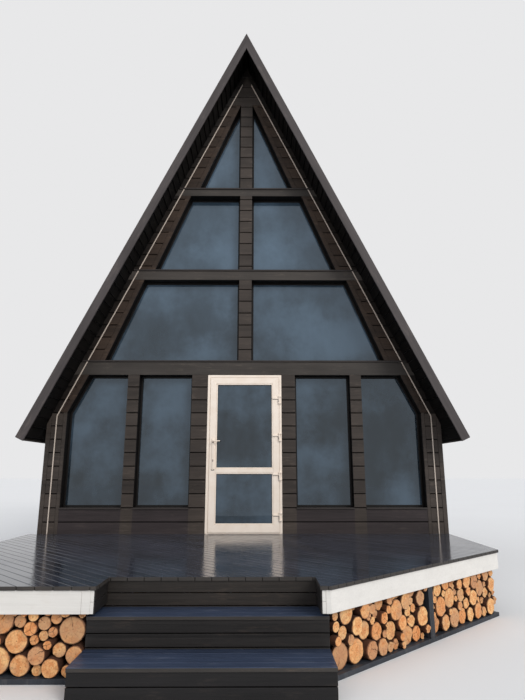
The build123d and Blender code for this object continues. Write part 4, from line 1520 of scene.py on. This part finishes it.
def rounded(name, low, high, corner, edge):
    """A plate in the door's plane with rounded corners and softened faces."""
    piece = block(name, low, high)
    opened(piece)
    pick(piece, "edges", lambda line: abs(line.verts[0].co.y - line.verts[1].co.y) > tiny)
    bevel(corner, 6)
    pick(piece, "faces", lambda face: abs(face.normal.y) > square)
    bevel(edge, 2)
    return closed(piece)


def frame_opening(left, other):
    """The opening of the door's frame, with the widths of its left bar and of the other bars."""
    return rectangle(-half_door + left, half_door - other, deck_top + threshold,
                     deck_top + door_height - other)


frame_outer = rectangle(-half_door, half_door, deck_top, deck_top + door_height)
frame_bars = []
for left, other, front, back, edge in (
    (0.0, 0.0, 0.0, rebate, profile_edge),
    (rebate_deep_left, rebate_deep, rebate, lip_front, slim_edge),
    (lip_reach, lip_reach, lip_front, lip_back, slim_edge),
):
    opening = frame_opening(door_bar + left, door_bar + other)
    frame_bars += mitred("door_frame", frame_outer, opening, front, back, edge)
keep(joined("door_frame_bars", frame_bars), "door_frame", door_white)

leaf_middle = (leaf_front + leaf_back) / 2
leaf_outer = rectangle(leaf_left, leaf_right, leaf_low, leaf_high)
leaf_body = rectangle(leaf_left + leaf_step_left, leaf_right - leaf_step, leaf_low, leaf_high - leaf_step)
leaf_inner = rectangle(pane_left - bead, pane_right + bead, door_panes[0][0] - bead, door_panes[1][1] + bead)
flange_bars = mitred("leaf_flange", leaf_outer, leaf_inner, leaf_front, 0.0, profile_edge)
body_bars = mitred("leaf", leaf_body, leaf_inner, 0.0, leaf_back, board_edge)
for left_stile in (flange_bars[3], body_bars[3]):
    bored(left_stile)
leaf_bars = flange_bars + body_bars
leaf_bars.append(plank("leaf_rail", (pane_left - bead, leaf_front, door_panes[0][1] + bead),
                       (pane_right + bead, leaf_back, door_panes[1][0] - bead)))
rubber_bars = []
for low, high in door_panes:
    pane = rectangle(pane_left, pane_right, low, high)
    for leaf_face, into in ((leaf_front, 1), (leaf_back, -1)):
        glass_face = leaf_middle - into * glass_half
        bead_span = sorted((leaf_face + into * bead_step, glass_face))
        rubber_span = sorted((leaf_face + into * rubber_step, glass_face))
        leaf_bars += mitred("bead", shrunk(pane, -bead), pane, *bead_span, bead_edge)
        rubber_bars += mitred("rubber", pane, shrunk(pane, rubber_width), *rubber_span, fine_edge)
keep(joined("leaf_profile", leaf_bars), "door_leaf", door_white, "door")
keep(joined("leaf_rubber", rubber_bars), None, rubber, "door")

# Door fittings: long plates, the lock's cylinder with its key slot and tail, and the lever's dark collar,
# which also stands in for the shade under the grip
plate_front = leaf_front - plate_thick
plate_back = leaf_back + plate_thick
plates = []
for front, back in ((plate_front, leaf_front), (leaf_back, plate_back)):
    plate = rounded("plate", (lever_x - plate_half, front, plate_low),
                    (lever_x + plate_half, back, plate_high), plate_corner, profile_edge)
    plates.append(bored(plate))
keep(smooth(joined("door_plates", plates)), "door_fittings", door_white, "door")
cylinder = across_leaf("lock_cylinder", lock_z, plate_front - lock_proud, plate_front, lock_radius,
                       lock_sides, fine_edge)
key_slot = block("key_slot", (lever_x - key_half, plate_front - 2 * lock_proud, lock_z - key_reach),
                 (lever_x + key_half, plate_front - key_deep, lock_z + key_reach))
tail = rounded("lock_tail", (lever_x - tail_half, plate_front - collar_thick, tail_low),
               (lever_x + tail_half, plate_front, tail_high), tail_corner, fine_edge)
shade_collar = bored(across_leaf("lever_shade_collar", collar_z, plate_front - collar_thick, plate_front, collar_radius,
                           collar_sides, collar_edge))
keep(smooth(joined("lock_parts", [carved(cylinder, key_slot), tail, shade_collar])), None,
     fitting_metal, "door")

# Lever: the spindle through the leaf, with a rounded grip at each end
lever_parts = [across_leaf("spindle", lever_z, plate_front - grip_out + hair, plate_back + grip_out - hair,
                           spindle_radius)]
for front in (plate_front - grip_out, plate_back + grip_out - grip_thick):
    lever_parts.append(rounded("grip", (lever_x - spindle_radius, front, grip_low),
                               (grip_end, front + grip_thick, grip_high), grip_corner, grip_edge))
keep(smooth(joined("lever_handle", lever_parts)), "door_lever", door_white, "lever")


# Hinges: a barrel with its flag on the leaf, between two barrels with their pin on the frame
def hinge_rod(name, low, high, radius, sides=round_sides, edge=0.0):
    """A round bar on a hinge's axis."""
    return rod(name, (hinge_x, hinge_y, low), (hinge_x, hinge_y, high), radius, sides, edge)


flag_end = hinge_x - flag_joint
shadow_strip_front = leaf_front - shadow_strip_thick
far_end = barrel_half + barrel_gap + end_barrel
leaf_hinge_parts = []
frame_hinge_parts = []
shadow_strip_parts = []
for z in hinge_heights:
    low = z - barrel_half
    high = z + barrel_half
    flag_z = z + flag_low
    leaf_hinge_parts += [
        hinge_rod("barrel", low, high, barrel_radius, edge=fine_edge),
        rounded("flag", (hinge_x - flag_reach, leaf_front - flag_thick, flag_z),
                (flag_end, leaf_front, high), flag_corner, trim_edge),
    ]
    # Painted shade: dark rubber strips under each flag and beside its barrel stand in for the shadow lines
    # there.
    shadow_strip_parts += [
        plank("gasket", (hinge_x - flag_reach + 2 * hair, shadow_strip_front, flag_z - shadow_strip_low),
              (flag_end, leaf_front, flag_z + shadow_strip_high), fine_edge),
        plank("gasket", (hinge_x - shadow_strip_in, shadow_strip_front, low),
              (flag_end, leaf_front, flag_z - shadow_strip_low - hair), fine_edge),
    ]
    frame_hinge_parts.append(hinge_rod("pin", z - far_end + hair, z + far_end - hair, pin_radius,
                                       pin_sides))
    for end_low in (z - far_end, high + barrel_gap):
        frame_hinge_parts += [
            hinge_rod("end_barrel", end_low, end_low + end_barrel, barrel_radius, edge=end_barrel_edge),
            plank("frame_plate", (hinge_x + flag_joint, hinge_y - hinge_plate_half, end_low),
                  (hinge_plate_end, 0.0, end_low + end_barrel), slim_edge),
        ]
# Painted shade: a dark strip under the front plate's low end stands in for its shadow.
plate_shadow_half = plate_half + plate_shadow_over
shadow_strip_parts.append(plank("plate_shadow_strip", (lever_x - plate_shadow_half, leaf_front - plate_shadow_over, plate_shadow_low),
                          (lever_x + plate_shadow_half, leaf_front, plate_shadow_high), slim_edge))
keep(smooth(joined("leaf_hinge_flags", leaf_hinge_parts)), "leaf_hinges", door_white,
     "door")
keep(smooth(joined("frame_hinge_plates", frame_hinge_parts)), "frame_hinges", door_white)
keep(joined("leaf_hinge_shadow_strips", shadow_strip_parts), None, rubber, "door")

# Floor of the studio
bpy.ops.object.select_all(action="DESELECT")
bpy.ops.mesh.primitive_plane_add(size=160.0, location=(0.0, 30.0, 0.0))
floor = named("studio_floor")
floor_finish = Finish("studio_floor_paint")
floor_cloud = floor_finish.noise(floor_finish.place, 0.4, 2.0)
floor_colour = floor_finish.mixed(floor_cloud, tint(231, 231, 232), tint(235, 235, 236))
painted(floor, floor_finish.surface(floor_colour, 0.9))

# Studio light: an even sky, plain where it is looked at, and one soft lamp from the front right
world = bpy.data.worlds.new("studio")
bpy.context.scene.world = world
sky = Nodes(world)
looks = [sky.add("ShaderNodeLightPath", output=kind) for kind in ("Is Camera Ray", "Is Glossy Ray",
                                                                  "Is Transmission Ray")]
looked_at = sky.maths("MAXIMUM", sky.maths("MAXIMUM", looks[0], looks[1]), looks[2])
lighting = sky.add("ShaderNodeBackground", None, {"Color": (0.93, 0.96, 1.0, 1.0), "Strength": 0.75})
backdrop = sky.add("ShaderNodeBackground", None, {"Color": tint(232, 232, 233), "Strength": 1.0})
seen = sky.add("ShaderNodeMixShader", None, {0: looked_at, 1: lighting, 2: backdrop})
sky.add("ShaderNodeOutputWorld", None, {"Surface": seen})

lamp_data = bpy.data.lights.new("soft_lamp", "SUN")
lamp_data.energy = 1.5
lamp_data.angle = math.radians(25)
lamp_data.color = (1.0, 0.97, 0.93)
lamp = bpy.data.objects.new("soft_lamp", lamp_data)
bpy.context.scene.collection.objects.link(lamp)
lamp.rotation_euler = (math.radians(60), 0.0, math.radians(36))

bpy.context.scene.view_settings.view_transform = "Standard"

bpy.ops.object.select_all(action="DESELECT")
